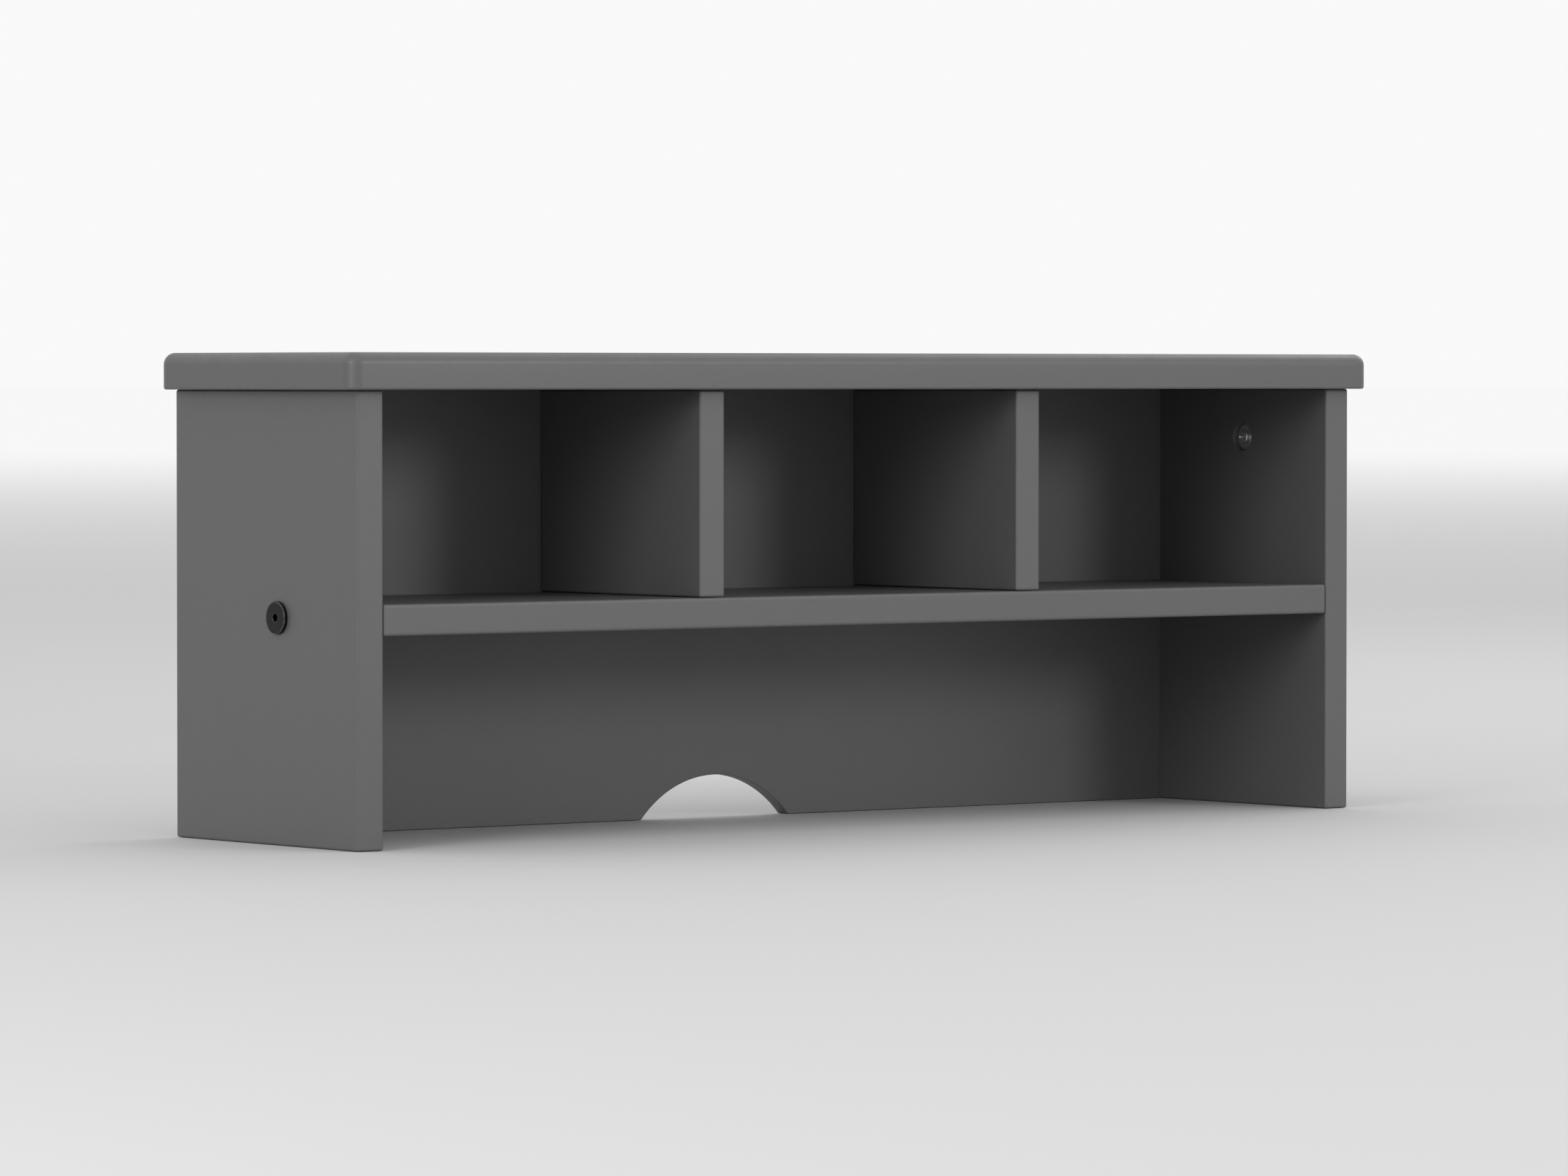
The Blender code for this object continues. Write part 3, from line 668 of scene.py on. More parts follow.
def beech_material(finish):
    """Bare beech: long grain, short dark ray flecks and a dry, fibrous surface."""
    material, tree, shader = start_material("hutch_beech")
    own = own_place(tree)
    along, flecked = (add(tree, "ShaderNodeMapping", {
        "Vector": own, "Scale": (1.0, 1.0, stretch)}).outputs[0] for stretch in (0.06, 0.22))
    grain = noise(tree, along, 900.0, 5.0, 0.65)
    flecks = remap(tree, noise(tree, flecked, 1900.0, 2.0), 0.62, 0.72, 0.0, 1.0)
    dark = tuple(0.62 * value for value in finish.beech)
    body = mix(tree, remap(tree, grain, 0.3, 0.7, 0.0, 1.0), rgba(finish.beech), rgba(dark))
    spotted = mix(tree, maths(tree, "MULTIPLY", flecks, 0.55), body, (0.20, 0.10, 0.05, 1.0))
    tone = toned(tree, spotted, own, 0.25, 90.0)
    sheen = sheen_of(tree, 0.66, own, 0.2, 90.0, 1200.0)
    link_finish(tree, shader, tone, sheen, grain, 0.00008, 0.6)
    return material


def finish_for(slot):
    """Material of one of the record's slots, made when it is first asked for."""
    material = bpy.data.materials.get("hutch_" + slot)
    if material is not None:
        return material
    finish = bpy.context.scene.hutch_finish
    if slot == "grey_paint":
        return paint_material(finish)
    if slot == "beech":
        return beech_material(finish)
    metals = {                # colour, rubbed colour, roughness, metallic
        "black_steel": (finish.black_steel, (0.16, 0.16, 0.165), 0.40, 0.85),
        "zinc": (finish.zinc, (0.72, 0.72, 0.73), 0.46, 1.0),
        "brass": (finish.brass, (0.78, 0.60, 0.30), 0.32, 1.0),
    }
    return metal_material("hutch_" + slot, *metals[slot])


# ------------------------------------------------------------------ boards
class Step:
    """A step of the build, whose make method does the work."""

    def execute(self, context):
        """Run the step on the scene."""
        self.make(context.scene)
        return {"FINISHED"}


class HUTCH_OT_sides(Step, Operator):
    """Side panels with their bores and the groove for the back panel"""
    bl_idname = "hutch.sides"
    bl_label = "Side panels"

    def make(self, scene):
        """Build both sides."""
        for label, sign in SIDES:
            self.build(scene, label, sign)

    @staticmethod
    def build(scene, label, sign):
        """One side: an eased board, with the groove's open channel added to it."""
        node = f"{label}_side"
        low, high = box_of(node)
        high[2] = box_of("top_board")[0][2]
        inner = low[0] if sign > 0 else high[0]
        ease = scene.hutch_boards.ease
        back_low, back_high = box_of("back_panel")
        groove_y = np.round([back_low[1] - FIT_GAP, back_high[1] + FIT_GAP], 7)
        tongue = back_high[0] if sign > 0 else back_low[0]
        groove_x = np.round(tongue + sign * 2 * FIT_GAP, 7)

        bores = [dowel_bore(f"shelf_dowel_{label}_{place}", node, 0, -sign) for place in PLACES]
        bores += [dowel_bore(f"side_dowel_{label}_{place}", node, 2, 1) for place in PLACES]
        bolt_at = middle_of(f"shelf_bolt_{label}")
        bolt_bore = scene.hutch_fittings.bolt_shank + FIT_GAP
        bores.append(Bore(0, sign, bolt_at, [(bolt_bore, 0.0), (bolt_bore, high[0] - low[0])]))
        bores.append(Bore(0, -sign, bolt_at, [(bolt_bore, 0.0)]))
        cam, pin = f"cam_{label}", f"cam_pin_{label}"
        bores.append(drilled(cam, node, 0, -sign, across=2))
        pin_depth = high[2] - box_of(cam)[1][2] - 2 * FIT_GAP
        bores.append(Bore(2, 1, middle_of(pin), blind(half_width(pin, 1) + FIT_GAP, pin_depth)))
        bores += [drilled(f"base_insert_{label}_{place}", node, 2, -1, across=1)
                  for place in PLACES]

        cut_x = sorted((inner - sign * CUT_MARGIN, groove_x))
        cut = (np.array([cut_x[0], groove_y[0], low[2] - CUT_MARGIN]),
               np.array([cut_x[1], groove_y[1], high[2] + CUT_MARGIN]))
        skin, lines = board_skin(low, high, ease, scene.hutch_boards.mesh_step, bores,
                                 ((groove_x,), groove_y, ()), cut)

        crest_x = inner + sign * ease
        walls_x = lines[0][(np.abs(lines[0] - inner) < abs(groove_x - inner) + WELD)]
        full_z = np.concatenate([[low[2]], lines[2], [high[2]]])
        turn = quarter(2 * (len(EASE_BAND) - 1))
        reach = np.array([[0.0], [ease]])
        for y in groove_y:
            for x_lines, z_lines in ((walls_x, full_z), (np.array([inner, crest_x]), lines[2])):
                x, z = grid(x_lines, z_lines)
                skin.patch(xyz(x, y, z))
            for z_core, up in ((lines[2][0], -1), (lines[2][-1], 1)):
                x = crest_x - sign * reach * np.cos(turn)
                skin.patch(xyz(x, y, z_core + up * reach * np.sin(turn)))
        floor_y = lines[1][(lines[1] > groove_y[0] - WELD) & (lines[1] < groove_y[1] + WELD)]
        skin.patch(xyz(groove_x, *grid(floor_y, full_z)))
        skin.piece(node, "grey_paint")


class HUTCH_OT_shelf(Step, Operator):
    """Shelf with its end bores, nut bores, screw holes and pilot holes"""
    bl_idname = "hutch.shelf"
    bl_label = "Shelf"

    def make(self, scene):
        """Build the shelf."""
        settings = scene.hutch_boards
        bolt_bore = scene.hutch_fittings.bolt_shank + FIT_GAP
        low, high = box_of("shelf")
        bores = []
        for label, sign in SIDES:
            bores += [dowel_bore(f"shelf_dowel_{label}_{place}", "shelf", 0, sign)
                      for place in PLACES]
            nut = f"barrel_nut_{label}"
            bores.append(drilled(nut, "shelf", 2, -1, across=1))
            end = high[0] if sign > 0 else low[0]
            nut_bore = half_width(nut, 1) + FIT_GAP
            depth = abs(end - middle_of(nut)[0]) - nut_bore - FIT_GAP
            bores.append(Bore(0, sign, middle_of(f"shelf_bolt_{label}"), blind(bolt_bore, depth)))
        for node, _ in placed("divider_screw"):
            below, above = countersunk(node, 1, high[2] - low[2], 0.6)
            bores += [Bore(2, -1, middle_of(node), below), Bore(2, 1, middle_of(node), above)]
        bores += [drilled(f"back_screw_{place}", "shelf", 1, 1, across=0, share=0.5)
                  for place in BACK_PLACES]
        skin, _ = board_skin(low, high, settings.ease, settings.mesh_step, bores)
        skin.piece("shelf", "grey_paint")


class HUTCH_OT_dividers(Step, Operator):
    """Two dividers with pilot holes below and dowel bores above"""
    bl_idname = "hutch.dividers"
    bl_label = "Dividers"

    def make(self, scene):
        """Build both dividers."""
        settings = scene.hutch_boards
        for label, _ in SIDES:
            node = f"{label}_divider"
            bores = []
            for place in PLACES:
                bores.append(dowel_bore(f"divider_dowel_{label}_{place}", node, 2, 1))
                bores.append(drilled(f"divider_screw_{label}_{place}", node, 2, -1, across=1,
                                     share=0.5))
            skin, _ = board_skin(*box_of(node), settings.ease, settings.mesh_step, bores)
            skin.piece(node, "grey_paint")


class HUTCH_OT_top_board(Step, Operator):
    """Top board with round corners, a rounded upper rim, and the back panel's groove below"""
    bl_idname = "hutch.top_board"
    bl_label = "Top board"

    def make(self, scene):
        """Build the top board: an edge section carried round a rounded rectangle, and two caps."""
        settings = scene.hutch_boards
        low, high = box_of("top_board")
        half_x, half_y = high[0], high[1]
        corner, ease, round_over = settings.top_corner, settings.ease, settings.top_roundover
        thickness = high[2] - low[2]
        back_low, back_high = box_of("back_panel")
        slot_x = np.round(back_high[0] + 2 * FIT_GAP, 7)
        slot_y = np.round([back_low[1] - FIT_GAP, back_high[1] + FIT_GAP], 7)
        slot_depth = back_high[2] - low[2] + FIT_GAP

        bores = [dowel_bore(node, "top_board", 2, -1)
                 for node, _ in placed("side_dowel") + placed("divider_dowel")]
        for label, _ in SIDES:
            pin = f"cam_pin_{label}"
            bores.append(Bore(2, -1, middle_of(pin), blind(
                PIN_THREAD + FIT_GAP, box_of(pin)[1][2] - low[2] + FIT_GAP)))
        spans = [[(bore.at[axis], bore.rows[0][0] * HOLE_REACH) for bore in bores]
                 for axis in (0, 1)]
        x_lines = grid_lines(corner - half_x, half_x - corner, settings.mesh_step, spans[0],
                             (-slot_x, slot_x))
        y_lines = grid_lines(corner - half_y, half_y - corner, settings.mesh_step, spans[1],
                             slot_y)

        arc = quarter(8)
        path = []
        normal = []
        stretches = ((x_lines, -half_y, 0, -1), (y_lines, half_x, 1, 1),
                     (x_lines[::-1], half_y, 0, 1), (y_lines[::-1], -half_x, 1, -1))
        for turn, (along, across, axis, sign) in enumerate(stretches):
            straight = np.empty((len(along), 2))
            straight[:, axis] = along
            straight[:, 1 - axis] = across
            facing = np.zeros((len(along), 2))
            facing[:, 1 - axis] = sign
            angle = arc + (turn - 1) * pi / 2
            out = np.stack([np.cos(angle), np.sin(angle)], axis=-1)
            centre = straight[-1] - facing[-1] * corner
            path += [straight, (centre + corner * out)[1:-1]]
            normal += [facing, out[1:-1]]
        path = np.concatenate([*path, path[0][:1]])
        normal = np.concatenate([*normal, normal[0][:1]])

        lower = quarter(4)
        upper = quarter(8)
        offset = np.concatenate([ease * (1 - np.sin(lower)), [0.0],
                                 round_over * (1 - np.cos(upper))])
        height = np.concatenate([ease * (1 - np.cos(lower)), [thickness * 0.4],
                                 thickness - round_over + round_over * np.sin(upper)])
        crest = np.concatenate([np.sin(2 * lower), [0.0], np.sin(2 * upper)])
        rim = path[None] - normal[None] * offset[:, None, None]
        skin = Skin()
        level = (low[2] + height)[:, None]
        skin.patch(xyz(rim[..., 0], rim[..., 1], level), edge=crest[:, None])

        for inset, z, opened in ((ease, low[2], True), (round_over, high[2], False)):
            u = np.concatenate([[inset - half_x], x_lines, [half_x - inset]])
            v = np.concatenate([[inset - half_y], y_lines, [half_y - inset]])
            keep = np.ones((len(u) - 1, len(v) - 1), bool)
            keep[[0, 0, -1, -1], [0, -1, 0, -1]] = False

            def place(x, y, depth, z=z):
                return xyz(x, y, z + depth)

            holes = [Hole(bore.at[0], bore.at[1], bore.rows) for bore in bores] if opened else []
            if opened:
                block = (nearest(u, -slot_x), nearest(u, slot_x), nearest(v, slot_y[0]),
                         nearest(v, slot_y[1]))
                keep[block[0]:block[1], block[2]:block[3]] = False
                skin.pocket(u, v, place, block, slot_depth)
            skin.sheet(u, v, place(*grid(u, v), 0.0), place, holes, keep)
            for sign_x, sign_y in ((1, 1), (-1, 1), (-1, -1), (1, -1)):
                reach = np.array([[0.0], [corner - inset]])
                x = sign_x * (half_x - corner + reach * np.cos(arc))
                y = sign_y * (half_y - corner + reach * np.sin(arc))
                skin.patch(place(x, y, 0.0))
        skin.piece("top_board", "grey_paint")


class HUTCH_OT_back_panel(Step, Operator):
    """Back panel with the round cable arch in its lower edge"""
    bl_idname = "hutch.back_panel"
    bl_label = "Back panel"

    def make(self, scene):
        """Build the back: an edge section carried round the arched outline, and two faces."""
        settings = scene.hutch_boards
        low, high = box_of("back_panel")
        ease = settings.back_ease
        half_chord = settings.arch_chord / 2
        rise = settings.arch_rise
        radius = (half_chord ** 2 + rise ** 2) / (2 * rise)
        turn = np.arcsin(half_chord / radius) * np.linspace(-1, 1, ARCH_LINES)
        arch_x = radius * np.sin(turn)
        screws = [f"back_screw_{place}" for place in BACK_PLACES]
        thickness = high[1] - low[1]
        countersink, plain = countersunk(screws[0], 0, thickness, 0.8)
        spots = [middle_of(name) for name in screws]
        reach = plain[0][0] * HOLE_REACH
        outer = [grid_lines(low[0], -half_chord, settings.mesh_step, [(spots[0][0], reach)]),
                 grid_lines(half_chord, high[0], settings.mesh_step, [(spots[2][0], reach)])]
        middle_lines = np.linspace(-reach, reach, LINES_ACROSS_HOLE)
        arch_x = arch_x[np.abs(arch_x[:, None] - middle_lines).min(axis=1) > ARCH_CLEAR]
        u = np.unique(np.round(np.concatenate([outer[0], arch_x, middle_lines, outer[1]]), 7))
        v = grid_lines(low[2], high[2], settings.mesh_step, [(spots[0][2], reach)], [ARCH_BAND])

        lift = np.sqrt(np.maximum(radius ** 2 - u ** 2, 0.0)) + rise - radius
        bottom = np.where(np.abs(u) < half_chord, np.maximum(lift, 0.0), 0.0)
        path = np.concatenate([
            np.stack([u, bottom], axis=-1),
            np.stack([np.full(len(v) - 2, high[0]), v[1:-1]], axis=-1),
            np.stack([u[::-1], np.full(len(u), high[2])], axis=-1),
            np.stack([np.full(len(v) - 2, low[0]), v[-2:0:-1]], axis=-1)])
        step = np.roll(path, -1, axis=0) - path
        step /= np.linalg.norm(step, axis=-1, keepdims=True)
        side = np.stack([step[:, 1], -step[:, 0]], axis=-1)
        normal = side + np.roll(side, 1, axis=0)
        normal /= (normal * side).sum(axis=-1, keepdims=True)

        bend = quarter(3)
        offset = np.concatenate([ease * (1 - np.sin(bend)), ease * (1 - np.cos(bend))])
        depth = np.concatenate([ease * (1 - np.cos(bend)),
                                thickness - ease + ease * np.sin(bend)])
        crest = np.concatenate([np.sin(2 * bend), np.sin(2 * bend)])
        closed = np.vstack([path, path[:1]])
        outward = np.vstack([normal, normal[:1]])
        rim = closed[None] - outward[None] * offset[:, None, None]
        skin = Skin()
        skin.patch(xyz(rim[..., 0], (low[1] + depth)[:, None], rim[..., 1]), edge=crest[:, None])

        face_u, face_v = grid(u, v)
        face_u[0], face_u[-1] = low[0] + ease, high[0] - ease
        face_v[:, -1] = high[2] - ease
        anchor = nearest(v, ARCH_BAND)
        start_u, start_v = rim[0, :len(u), 0], rim[0, :len(u), 1]
        share = (v[:anchor] - ease) / (v[anchor] - ease)
        share[0] = 0.0
        end_u = face_u[:, anchor].copy()
        face_u[:, :anchor] = start_u[:, None] + (end_u - start_u)[:, None] * share
        face_v[:, :anchor] = start_v[:, None] + (v[anchor] - start_v)[:, None] * share
        for face_y, inward, rows in ((high[1], -1, countersink), (low[1], 1, plain)):
            def place(x, z, deep, face_y=face_y, inward=inward):
                return xyz(x, face_y + inward * deep, z)

            holes = [Hole(spot[0], spot[2], rows) for spot in spots]
            skin.sheet(u, v, place(face_u, face_v, 0.0), place, holes)
        skin.piece("back_panel", "grey_paint")


# ------------------------------------------------------------------ turned fittings
def axes_along(direction):
    """Three unit columns, the last along the direction."""
    third = np.array(direction, float)
    first = np.roll(third, 1)
    return np.stack([first, np.cross(third, first), third], axis=-1)


def round_angles(count, corners=()):
    """Angles round a full turn that take in the corners of a recess."""
    even = np.linspace(0.0, 2 * pi, count, endpoint=False)
    corners = np.asarray(corners, float) % (2 * pi)
    if len(corners):
        gap = np.abs((even[:, None] - corners + pi) % (2 * pi) - pi).min(axis=1)
        even = np.concatenate([even[gap > CORNER_CLEAR * 2 * pi / count], corners])
    even = np.sort(even)
    return np.append(even, even[0] + 2 * pi)


def hexagon(angle, half_flats):
    """Radius of a hexagon with one corner at angle 0, at each angle."""
    return half_flats / np.cos(angle % (pi / 3) - pi / 6)


def cross_shape(angle, reach, half_arm):
    """Radius of a plus sign with arms on the axes, at each angle."""
    folded = np.abs((angle + pi / 4) % (pi / 2) - pi / 4)
    tip = reach / np.cos(folded)
    flank = half_arm / np.maximum(np.sin(folded), 1e-9)
    return np.minimum(tip, flank)


def cross_corners(reach, half_arm):
    """Angles of a plus sign's tips and inner corners."""
    tip = atan2(half_arm, reach)
    return [quarter_turn * pi / 2 + angle for quarter_turn in range(4)
            for angle in (-tip, tip, pi / 4)]


def thread_rows(start, end, pitch, crest, root, angle, per_turn=8, taper=None):
    """Rows of a thread: a triangle wave of height less angle, faded at its ends."""
    height = np.linspace(start, end, max(2, round((end - start) / pitch * per_turn)) + 1)
    phase = (height[:, None] / pitch - angle[None] / (2 * pi)) % 1.0
    ridge = 1 - np.abs(2 * phase - 1)
    fade = np.clip((height - start) / pitch, 0, 1) * np.clip((end - height) / pitch, 0, 1)
    radius = root + (crest - root) * ridge * fade[:, None]
    if taper is not None:
        radius = radius * np.interp(height, *taper)[:, None]
    return list(zip(height, radius))


def turned_skin(rows, angle, turn, edge=()):
    """Skin of (height, radius) rows turned about the last axis through the base.

    A radius is one number or one for each angle.  Rows whose places are in edge are crests.
    """
    base, axes = turn
    height = np.array([row[0] for row in rows], float)[:, None]
    radius = np.stack([np.broadcast_to(row[1], angle.shape) for row in rows])
    own = xyz(radius * np.cos(angle), radius * np.sin(angle), height)
    own[:, -1] = own[:, 0]
    crest = np.zeros((len(rows), 1))
    crest[list(edge)] = 1.0
    skin = Skin()
    skin.patch(own @ axes.T + base, edge=crest)
    return skin


def footing(node, direction):
    """(base, axes) and length of a turned piece: it starts at its box's end and goes along."""
    axis = int(np.argmax(np.abs(direction)))
    base = middle_of(node)
    base[axis] = box_of(node)[0 if direction[axis] > 0 else 1][axis]
    return (base, axes_along(direction)), 2 * half_width(node, axis)


class HUTCH_OT_dowels(Step, Operator):
    """Fluted beech dowels of the shelf, side and divider joints"""
    bl_idname = "hutch.dowels"
    bl_label = "Dowels"

    def make(self, scene):
        """Build every dowel."""
        for node, sign in placed("shelf_dowel"):
            self.build(scene.hutch_fittings, node, (sign, 0, 0))
        for node, _ in placed("side_dowel") + placed("divider_dowel"):
            self.build(scene.hutch_fittings, node, (0, 0, 1))

    @staticmethod
    def build(settings, node, direction):
        """One dowel: a circle with a cosine ripple for its flutes, chamfered at the ends."""
        turn, end = footing(node, direction)
        radius = half_width(node, (np.argmax(np.abs(direction)) + 1) % 3)
        chamfer = 0.0009
        tip = radius - chamfer
        angle = round_angles(settings.dowel_flutes * 6)
        ripple = 0.5 - 0.5 * np.cos(settings.dowel_flutes * angle)
        rows = [(0.0, 0.0), (0.0, tip * 0.6), (0.0, tip)]
        rows += [(height, radius - settings.flute_depth * ripple)
                 for height in np.linspace(chamfer, end - chamfer, 9)]
        rows += [(end, tip), (end, tip * 0.6), (end, 0.0)]
        turned_skin(rows, angle, turn).piece(node, "beech", turn)


class HUTCH_OT_bolts(Step, Operator):
    """Black flat-headed bolts with a hexagonal socket"""
    bl_idname = "hutch.bolts"
    bl_label = "Bolts"

    def make(self, scene):
        """Build both bolts: socket, head, shank and thread in one turned surface."""
        settings = scene.hutch_fittings
        depth, shank = settings.hex_depth, settings.bolt_shank
        mouth, rim, tip = 0.00025, 0.0007, 0.0006
        angle = round_angles(48)
        socket = hexagon(angle, settings.hex_flats / 2)
        for label, sign in SIDES:
            node = f"shelf_bolt_{label}"
            turn, end = footing(node, (-sign, 0, 0))
            outer_face = box_of(f"{label}_side")[1 if sign > 0 else 0][0]
            under = abs(turn[0][0] - outer_face) - FIT_GAP
            head = half_width(node, 2)
            rows = [(depth + 0.0006, 0.0), (depth, socket * 0.7), (depth, socket),
                    (mouth * 1.2, socket), (mouth * 0.25, socket + mouth),
                    (0.0, socket + 2 * mouth), (0.0, head * 0.55), (0.00002, head - rim * 1.6)]
            rows += [(rim * (1 - cos(bend)) + 0.00003, head - rim + rim * sin(bend))
                     for bend in quarter(5)]
            rows += [(under - 0.0001, head), (under, head - 0.0001), (under, shank * 1.5),
                     (under, shank + 0.0002), (under + 0.0003, shank), (under + 0.020, shank)]
            rows += thread_rows(under + 0.0205, end - tip, settings.bolt_pitch, shank,
                                shank * 0.82, angle)
            rows += [(end, shank * 0.7), (end, 0.0)]
            skin = turned_skin(rows, angle, turn, (4, *range(9, 13)))
            skin.piece(node, "black_steel", turn)


class HUTCH_OT_cams(Step, Operator):
    """Zinc cams with a cross recess, and the pins that they hold"""
    bl_idname = "hutch.cams"
    bl_label = "Cams and pins"

    def make(self, scene):
        """Build both cams and both pins."""
        for label, sign in SIDES:
            self.build_cam(f"cam_{label}", sign)
            self.build_pin(f"cam_pin_{label}")

    @staticmethod
    def build_cam(node, sign):
        """A cam: a raised hub with a cross recess in a sunk ring, and an open wall behind."""
        turn, end = footing(node, (sign, 0, 0))
        base, axes = turn
        radius = half_width(node, 2)
        reach, half_arm, deep = 0.0026, 0.0006, 0.0022
        angle = round_angles(72, cross_corners(reach, half_arm))
        key = cross_shape(angle, reach, half_arm)
        small_key = cross_shape(angle, reach * 0.75, half_arm * 0.7)
        plate, rim, hub, sunk, crown = 0.0056, 0.0004, 0.0036, 0.0028, 0.0009
        rows = [(deep, 0.0), (deep, small_key), (0.0002, key), (0.0, key * 1.04)]
        inner = reach + 0.0003
        rows += [(crown * (1 - cos(bend)), inner + (hub - inner) * sin(bend))
                 for bend in quarter(5)]
        rows += [(sunk, hub), (sunk, radius - rim), (sunk + rim, radius), (plate, radius),
                 (plate, radius * 0.5), (plate, 0.0)]
        skin = turned_skin(rows, angle, turn, (3,))

        wall, opening, overlap = 0.0016, radians(52), 0.0002
        up = atan2(axes[2, 1], axes[2, 0])
        sweep = np.linspace(up + opening, up + 2 * pi - opening, 49)
        ring_r = radius - np.array([wall, wall, 0.0001, 0.0001, wall])[:, None]
        ring_h = np.array([plate - overlap, end, end, plate - overlap, plate - overlap])[:, None]
        own = xyz(ring_r * np.cos(sweep), ring_r * np.sin(sweep), ring_h)
        skin.patch(own @ axes.T + base)
        for ring_end in (own[:4, 0], own[:4, -1]):
            skin.patch(np.stack([ring_end[[0, 1]], ring_end[[3, 2]]]) @ axes.T + base)
        skin.piece(node, "zinc", turn)

    @staticmethod
    def build_pin(node):
        """A pin: headed lower end, waist, shank and a coarse wood thread above."""
        turn, end = footing(node, (0, 0, 1))
        joint = box_of("top_board")[0][2] - turn[0][2]
        angle = round_angles(32)
        shank, waist, head, core, bevel = 0.0035, 0.0021, 0.0034, 0.0021, 0.0009
        rows = [(0.0, 0.0), (0.0, head * 0.6)]
        rows += [(bevel * (1 - cos(bend)), head - bevel * (1 - sin(bend)))
                 for bend in quarter(4)]
        rows += [(0.0027, head), (0.0035, waist), (0.0075, waist), (0.0084, shank),
                 (joint - 0.0012, shank), (joint - 0.0009, shank + 0.0001),
                 (joint - 0.0004, shank), (joint - 0.0003, 0.0026)]
        rows += thread_rows(joint - 0.0002, end - 0.0008, 0.0021, PIN_THREAD, core, angle, 10)
        rows += [(end, 0.0012), (end, 0.0)]
        turned_skin(rows, angle, turn).piece(node, "zinc", turn)


class HUTCH_OT_barrel_nuts(Step, Operator):
    """Barrel nuts in the shelf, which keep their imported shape"""
    bl_idname = "hutch.barrel_nuts"
    bl_label = "Barrel nuts"

    def make(self, scene):
        """Give both nuts their zinc finish."""
        for label, _ in SIDES:
            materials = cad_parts[f"barrel_nut_{label}"].data.materials
            materials.clear()
            materials.append(finish_for("zinc"))


class HUTCH_OT_screws(Step, Operator):
    """Countersunk screws of the dividers and the back panel"""
    bl_idname = "hutch.screws"
    bl_label = "Screws"

    def make(self, scene):
        """Build all seven screws."""
        pitch = scene.hutch_fittings.screw_pitch
        for node, _ in placed("divider_screw"):
            self.build(node, 2, 1, pitch)
        for place in BACK_PLACES:
            self.build(f"back_screw_{place}", 1, -1, pitch)

    @staticmethod
    def build(node, axis, sign, pitch):
        """One screw: cross recess, flat head, cone, shank, thread and point."""
        turn, end = footing(node, sign * np.eye(3)[axis])
        head = half_width(node, (axis + 1) % 3)
        shank = head / 2
        reach, half_arm, deep = head * 0.62, head * 0.13, 0.0018
        angle = round_angles(40, cross_corners(reach, half_arm))
        key = cross_shape(angle, reach, half_arm)
        small_key = cross_shape(angle, reach * 0.45, half_arm * 0.6)
        rows = [(deep, 0.0), (deep * 0.92, small_key), (0.0001, key), (0.0, key * 1.05),
                (0.0, head * 0.8), (0.0, head - 0.0002), (0.0002, head), (SCREW_RIM, head),
                (SCREW_RIM + (head - shank) * 0.95, shank), (end * 0.36, shank * 0.95)]
        point = ([0.0, end - 2.4 * shank, end], [1.0, 1.0, 0.08])
        rows += thread_rows(end * 0.38, end - 0.0004, pitch, shank, shank * 0.62, angle,
                            taper=point)
        rows += [(end, 0.0)]
        turned_skin(rows, angle, turn, (3, 5, 6)).piece(node, "zinc", turn)


class HUTCH_OT_inserts(Step, Operator):
    """Threaded brass sleeves in the bottom edges of the sides"""
    bl_idname = "hutch.inserts"
    bl_label = "Base inserts"

    def make(self, scene):
        """Build all four sleeves."""
        for node, _ in placed("base_insert"):
            self.build(node)

    @staticmethod
    def build(node):
        """One sleeve: a helical rib outside and a machine thread inside."""
        turn, end = footing(node, (0, 0, 1))
        outer = half_width(node, 1)
        bore, mouth = 0.0026, 0.0030
        angle = round_angles(40)
        ribs = thread_rows(0.0006, end - 0.0004, 0.0025, outer, outer * 0.86, angle, 10)
        thread = thread_rows(0.0006, end - 0.0004, 0.001, bore, bore * 1.1, angle)
        rows = [(0.0, mouth), (0.0, outer - 0.0003), (0.0002, outer * 0.99), *ribs,
                (end, outer * 0.84), (end, mouth), *thread[::-1], (0.0, mouth)]
        turned_skin(rows, angle, turn, (0, 1)).piece(node, "brass", turn)


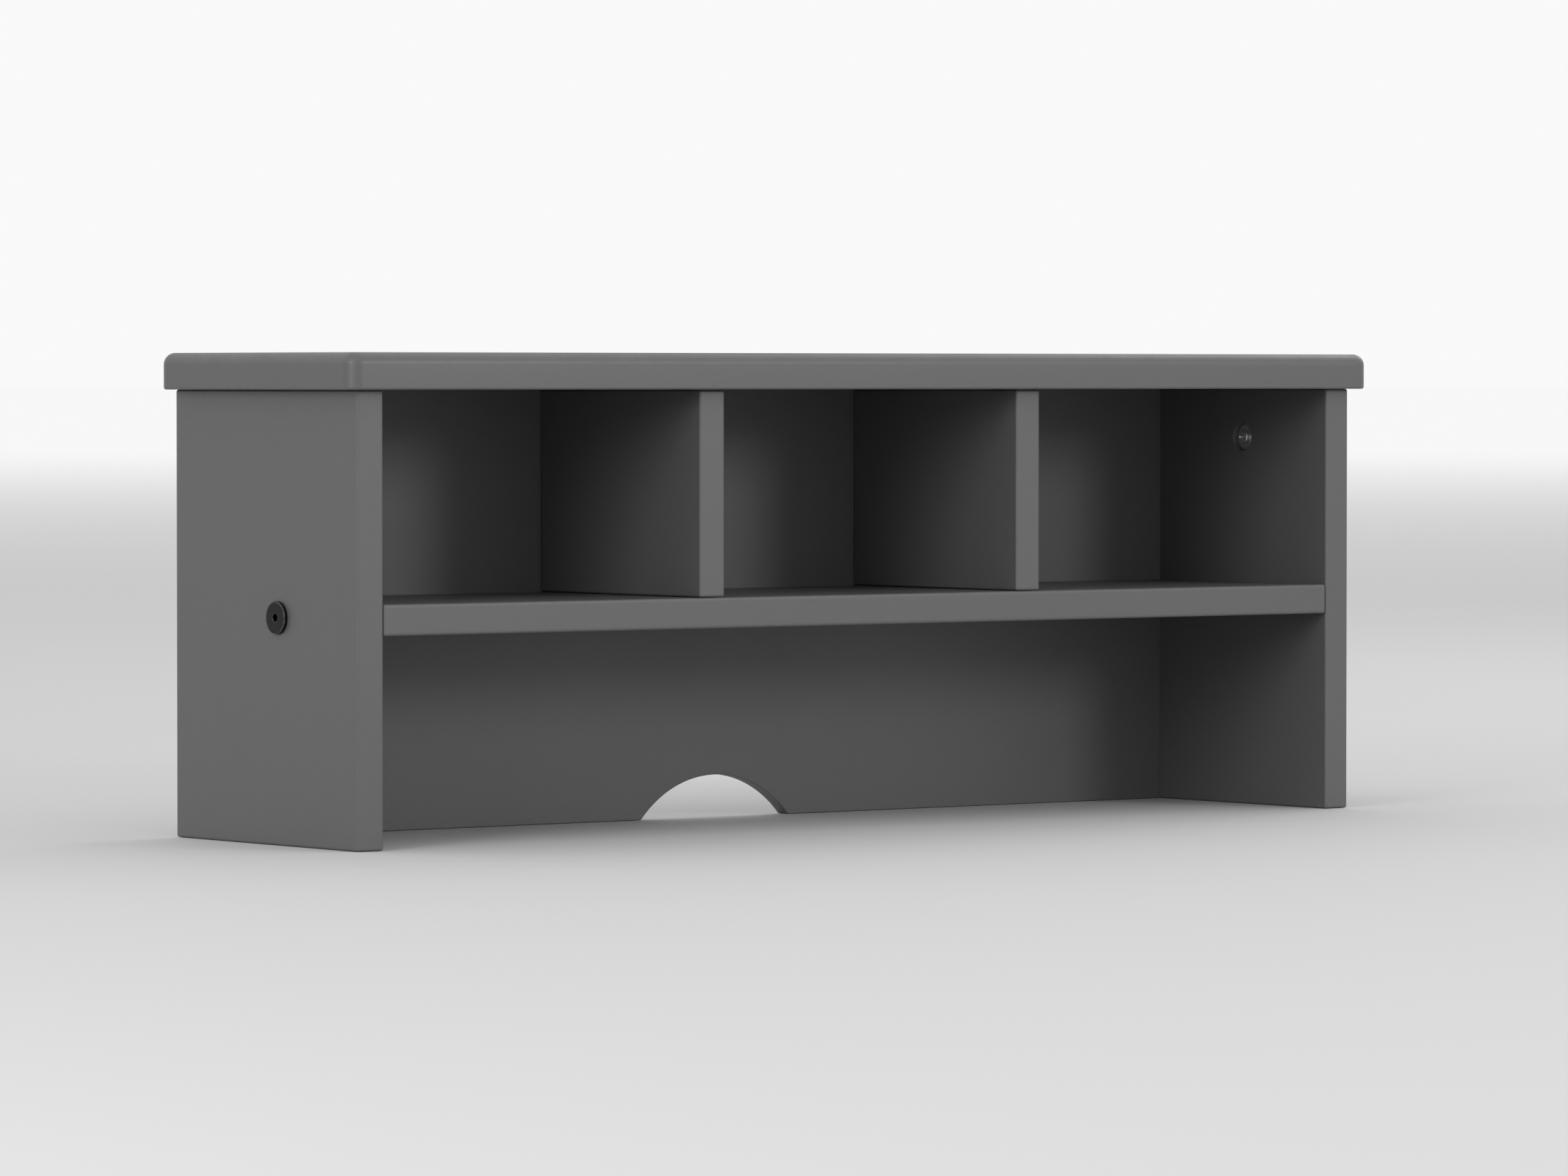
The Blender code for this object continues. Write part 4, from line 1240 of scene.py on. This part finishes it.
# ------------------------------------------------------------------ stage
class HUTCH_OT_stage(Step, Operator):
    """Pale floor, soft lights and the camera"""
    bl_idname = "hutch.stage"
    bl_label = "Stage"

    def make(self, scene):
        """Build the stage."""
        stage = scene.hutch_stage
        self.floor(scene, stage)
        self.sky(scene, stage)
        centre = (CAD_BOX[0] + CAD_BOX[1]) / 2
        for name, (offset, size) in LIGHTS.items():
            self.light(scene, name, centre + Vector(offset), centre, size, getattr(stage, name))
        self.camera(scene, stage, centre)
        scene.view_settings.view_transform = "Standard"

    @staticmethod
    def floor(scene, stage):
        """A wide disc that turns from pale to white far away: radius and angle make its grid."""
        reach, angle = grid(FLOOR_RINGS, np.linspace(0, 2 * pi, 97))
        points = xyz(reach * np.cos(angle), reach * np.sin(angle), 0.0)
        mesh = bpy.data.meshes.new("floor")
        mesh.from_pydata(points.reshape(-1, 3).tolist(), [],
                         cells(*reach.shape).reshape(-1, 4).tolist())
        material, tree, shader = start_material("pale_floor")
        here = object_place(tree)
        away = remap(tree, distance_from_origin(tree, here), *PALE_TO_WHITE, 0.0, 1.0,
                     "SMOOTHERSTEP")
        pale = mix(tree, away, rgba(stage.floor), rgba(stage.far_floor))
        tree.links.new(toned(tree, pale, here, 0.02, 2.0), shader.inputs["Base Color"])
        shader.inputs["Roughness"].default_value = 0.8
        mesh.materials.append(material)
        item = bpy.data.objects.new("floor", mesh)
        item.location.z = -FLOOR_DROP
        scene.collection.objects.link(item)

    @staticmethod
    def sky(scene, stage):
        """Even near white light from all round."""
        world = bpy.data.worlds.new("studio")
        world.use_nodes = True
        back = world.node_tree.nodes["Background"]
        back.inputs["Color"].default_value = (1.0, 1.0, 1.0, 1.0)
        back.inputs["Strength"].default_value = stage.sky
        scene.world = world

    @staticmethod
    def light(scene, name, place, target, size, watts):
        """A soft disc light that looks at the target."""
        lamp = bpy.data.lights.new(f"{name}_light", "AREA")
        lamp.shape = "DISK"
        lamp.size = size
        lamp.energy = watts
        HUTCH_OT_stage.aim(scene, lamp, place, target)

    @staticmethod
    def camera(scene, stage, centre):
        """Long lens near the top board's height, left of straight ahead, aimed at the hutch."""
        lens = bpy.data.cameras.new("camera")
        lens.lens = stage.lens
        lens.clip_end = 1000.0
        ahead = Vector((sin(stage.azimuth), -cos(stage.azimuth), 0.0))
        place = Vector((centre.x, centre.y, 0.0)) + ahead * stage.distance
        place.z = stage.eye_height
        scene.camera = HUTCH_OT_stage.aim(scene, lens, place, centre)

    @staticmethod
    def aim(scene, data, place, target):
        """Object for a light or camera that looks at the target."""
        item = bpy.data.objects.new(data.name, data)
        item.location = place
        item.rotation_euler = (target - place).to_track_quat("-Z", "Y").to_euler()
        scene.collection.objects.link(item)
        return item


class HUTCH_PT_panel(Panel):
    """Settings and steps of the desk hutch"""
    bl_idname = "HUTCH_PT_panel"
    bl_label = "Desk Hutch"
    bl_space_type = "VIEW_3D"
    bl_region_type = "UI"
    bl_category = "Hutch"

    def draw(self, context):
        """List every setting and every step."""
        for group_name in SETTINGS:
            box = self.layout.box()
            settings = getattr(context.scene, group_name)
            for field in settings.__annotations__:
                box.prop(settings, field)
        for step in STEPS:
            self.layout.operator(step.bl_idname)


SETTINGS = {
    "hutch_boards": HutchBoardSettings,
    "hutch_fittings": HutchFittingSettings,
    "hutch_finish": HutchFinishSettings,
    "hutch_stage": HutchStageSettings,
}
STEPS = (HUTCH_OT_sides, HUTCH_OT_shelf, HUTCH_OT_dividers, HUTCH_OT_top_board,
         HUTCH_OT_back_panel, HUTCH_OT_dowels, HUTCH_OT_bolts, HUTCH_OT_cams,
         HUTCH_OT_barrel_nuts, HUTCH_OT_screws, HUTCH_OT_inserts, HUTCH_OT_stage)


def register():
    """Register the classes and hang the settings on the scene."""
    for item in (*SETTINGS.values(), *STEPS, HUTCH_PT_panel):
        bpy.utils.register_class(item)
    for name, kind in SETTINGS.items():
        setattr(bpy.types.Scene, name, PointerProperty(type=kind))


def unregister():
    """Take the settings and classes away again."""
    for name in SETTINGS:
        delattr(bpy.types.Scene, name)
    for item in (HUTCH_PT_panel, *reversed(STEPS), *SETTINGS.values()):
        bpy.utils.unregister_class(item)


def main():
    """Build everything in order."""
    register()
    for step in STEPS:
        getattr(bpy.ops.hutch, step.bl_idname.split(".")[1])()


if __name__ == "__main__":
    main()
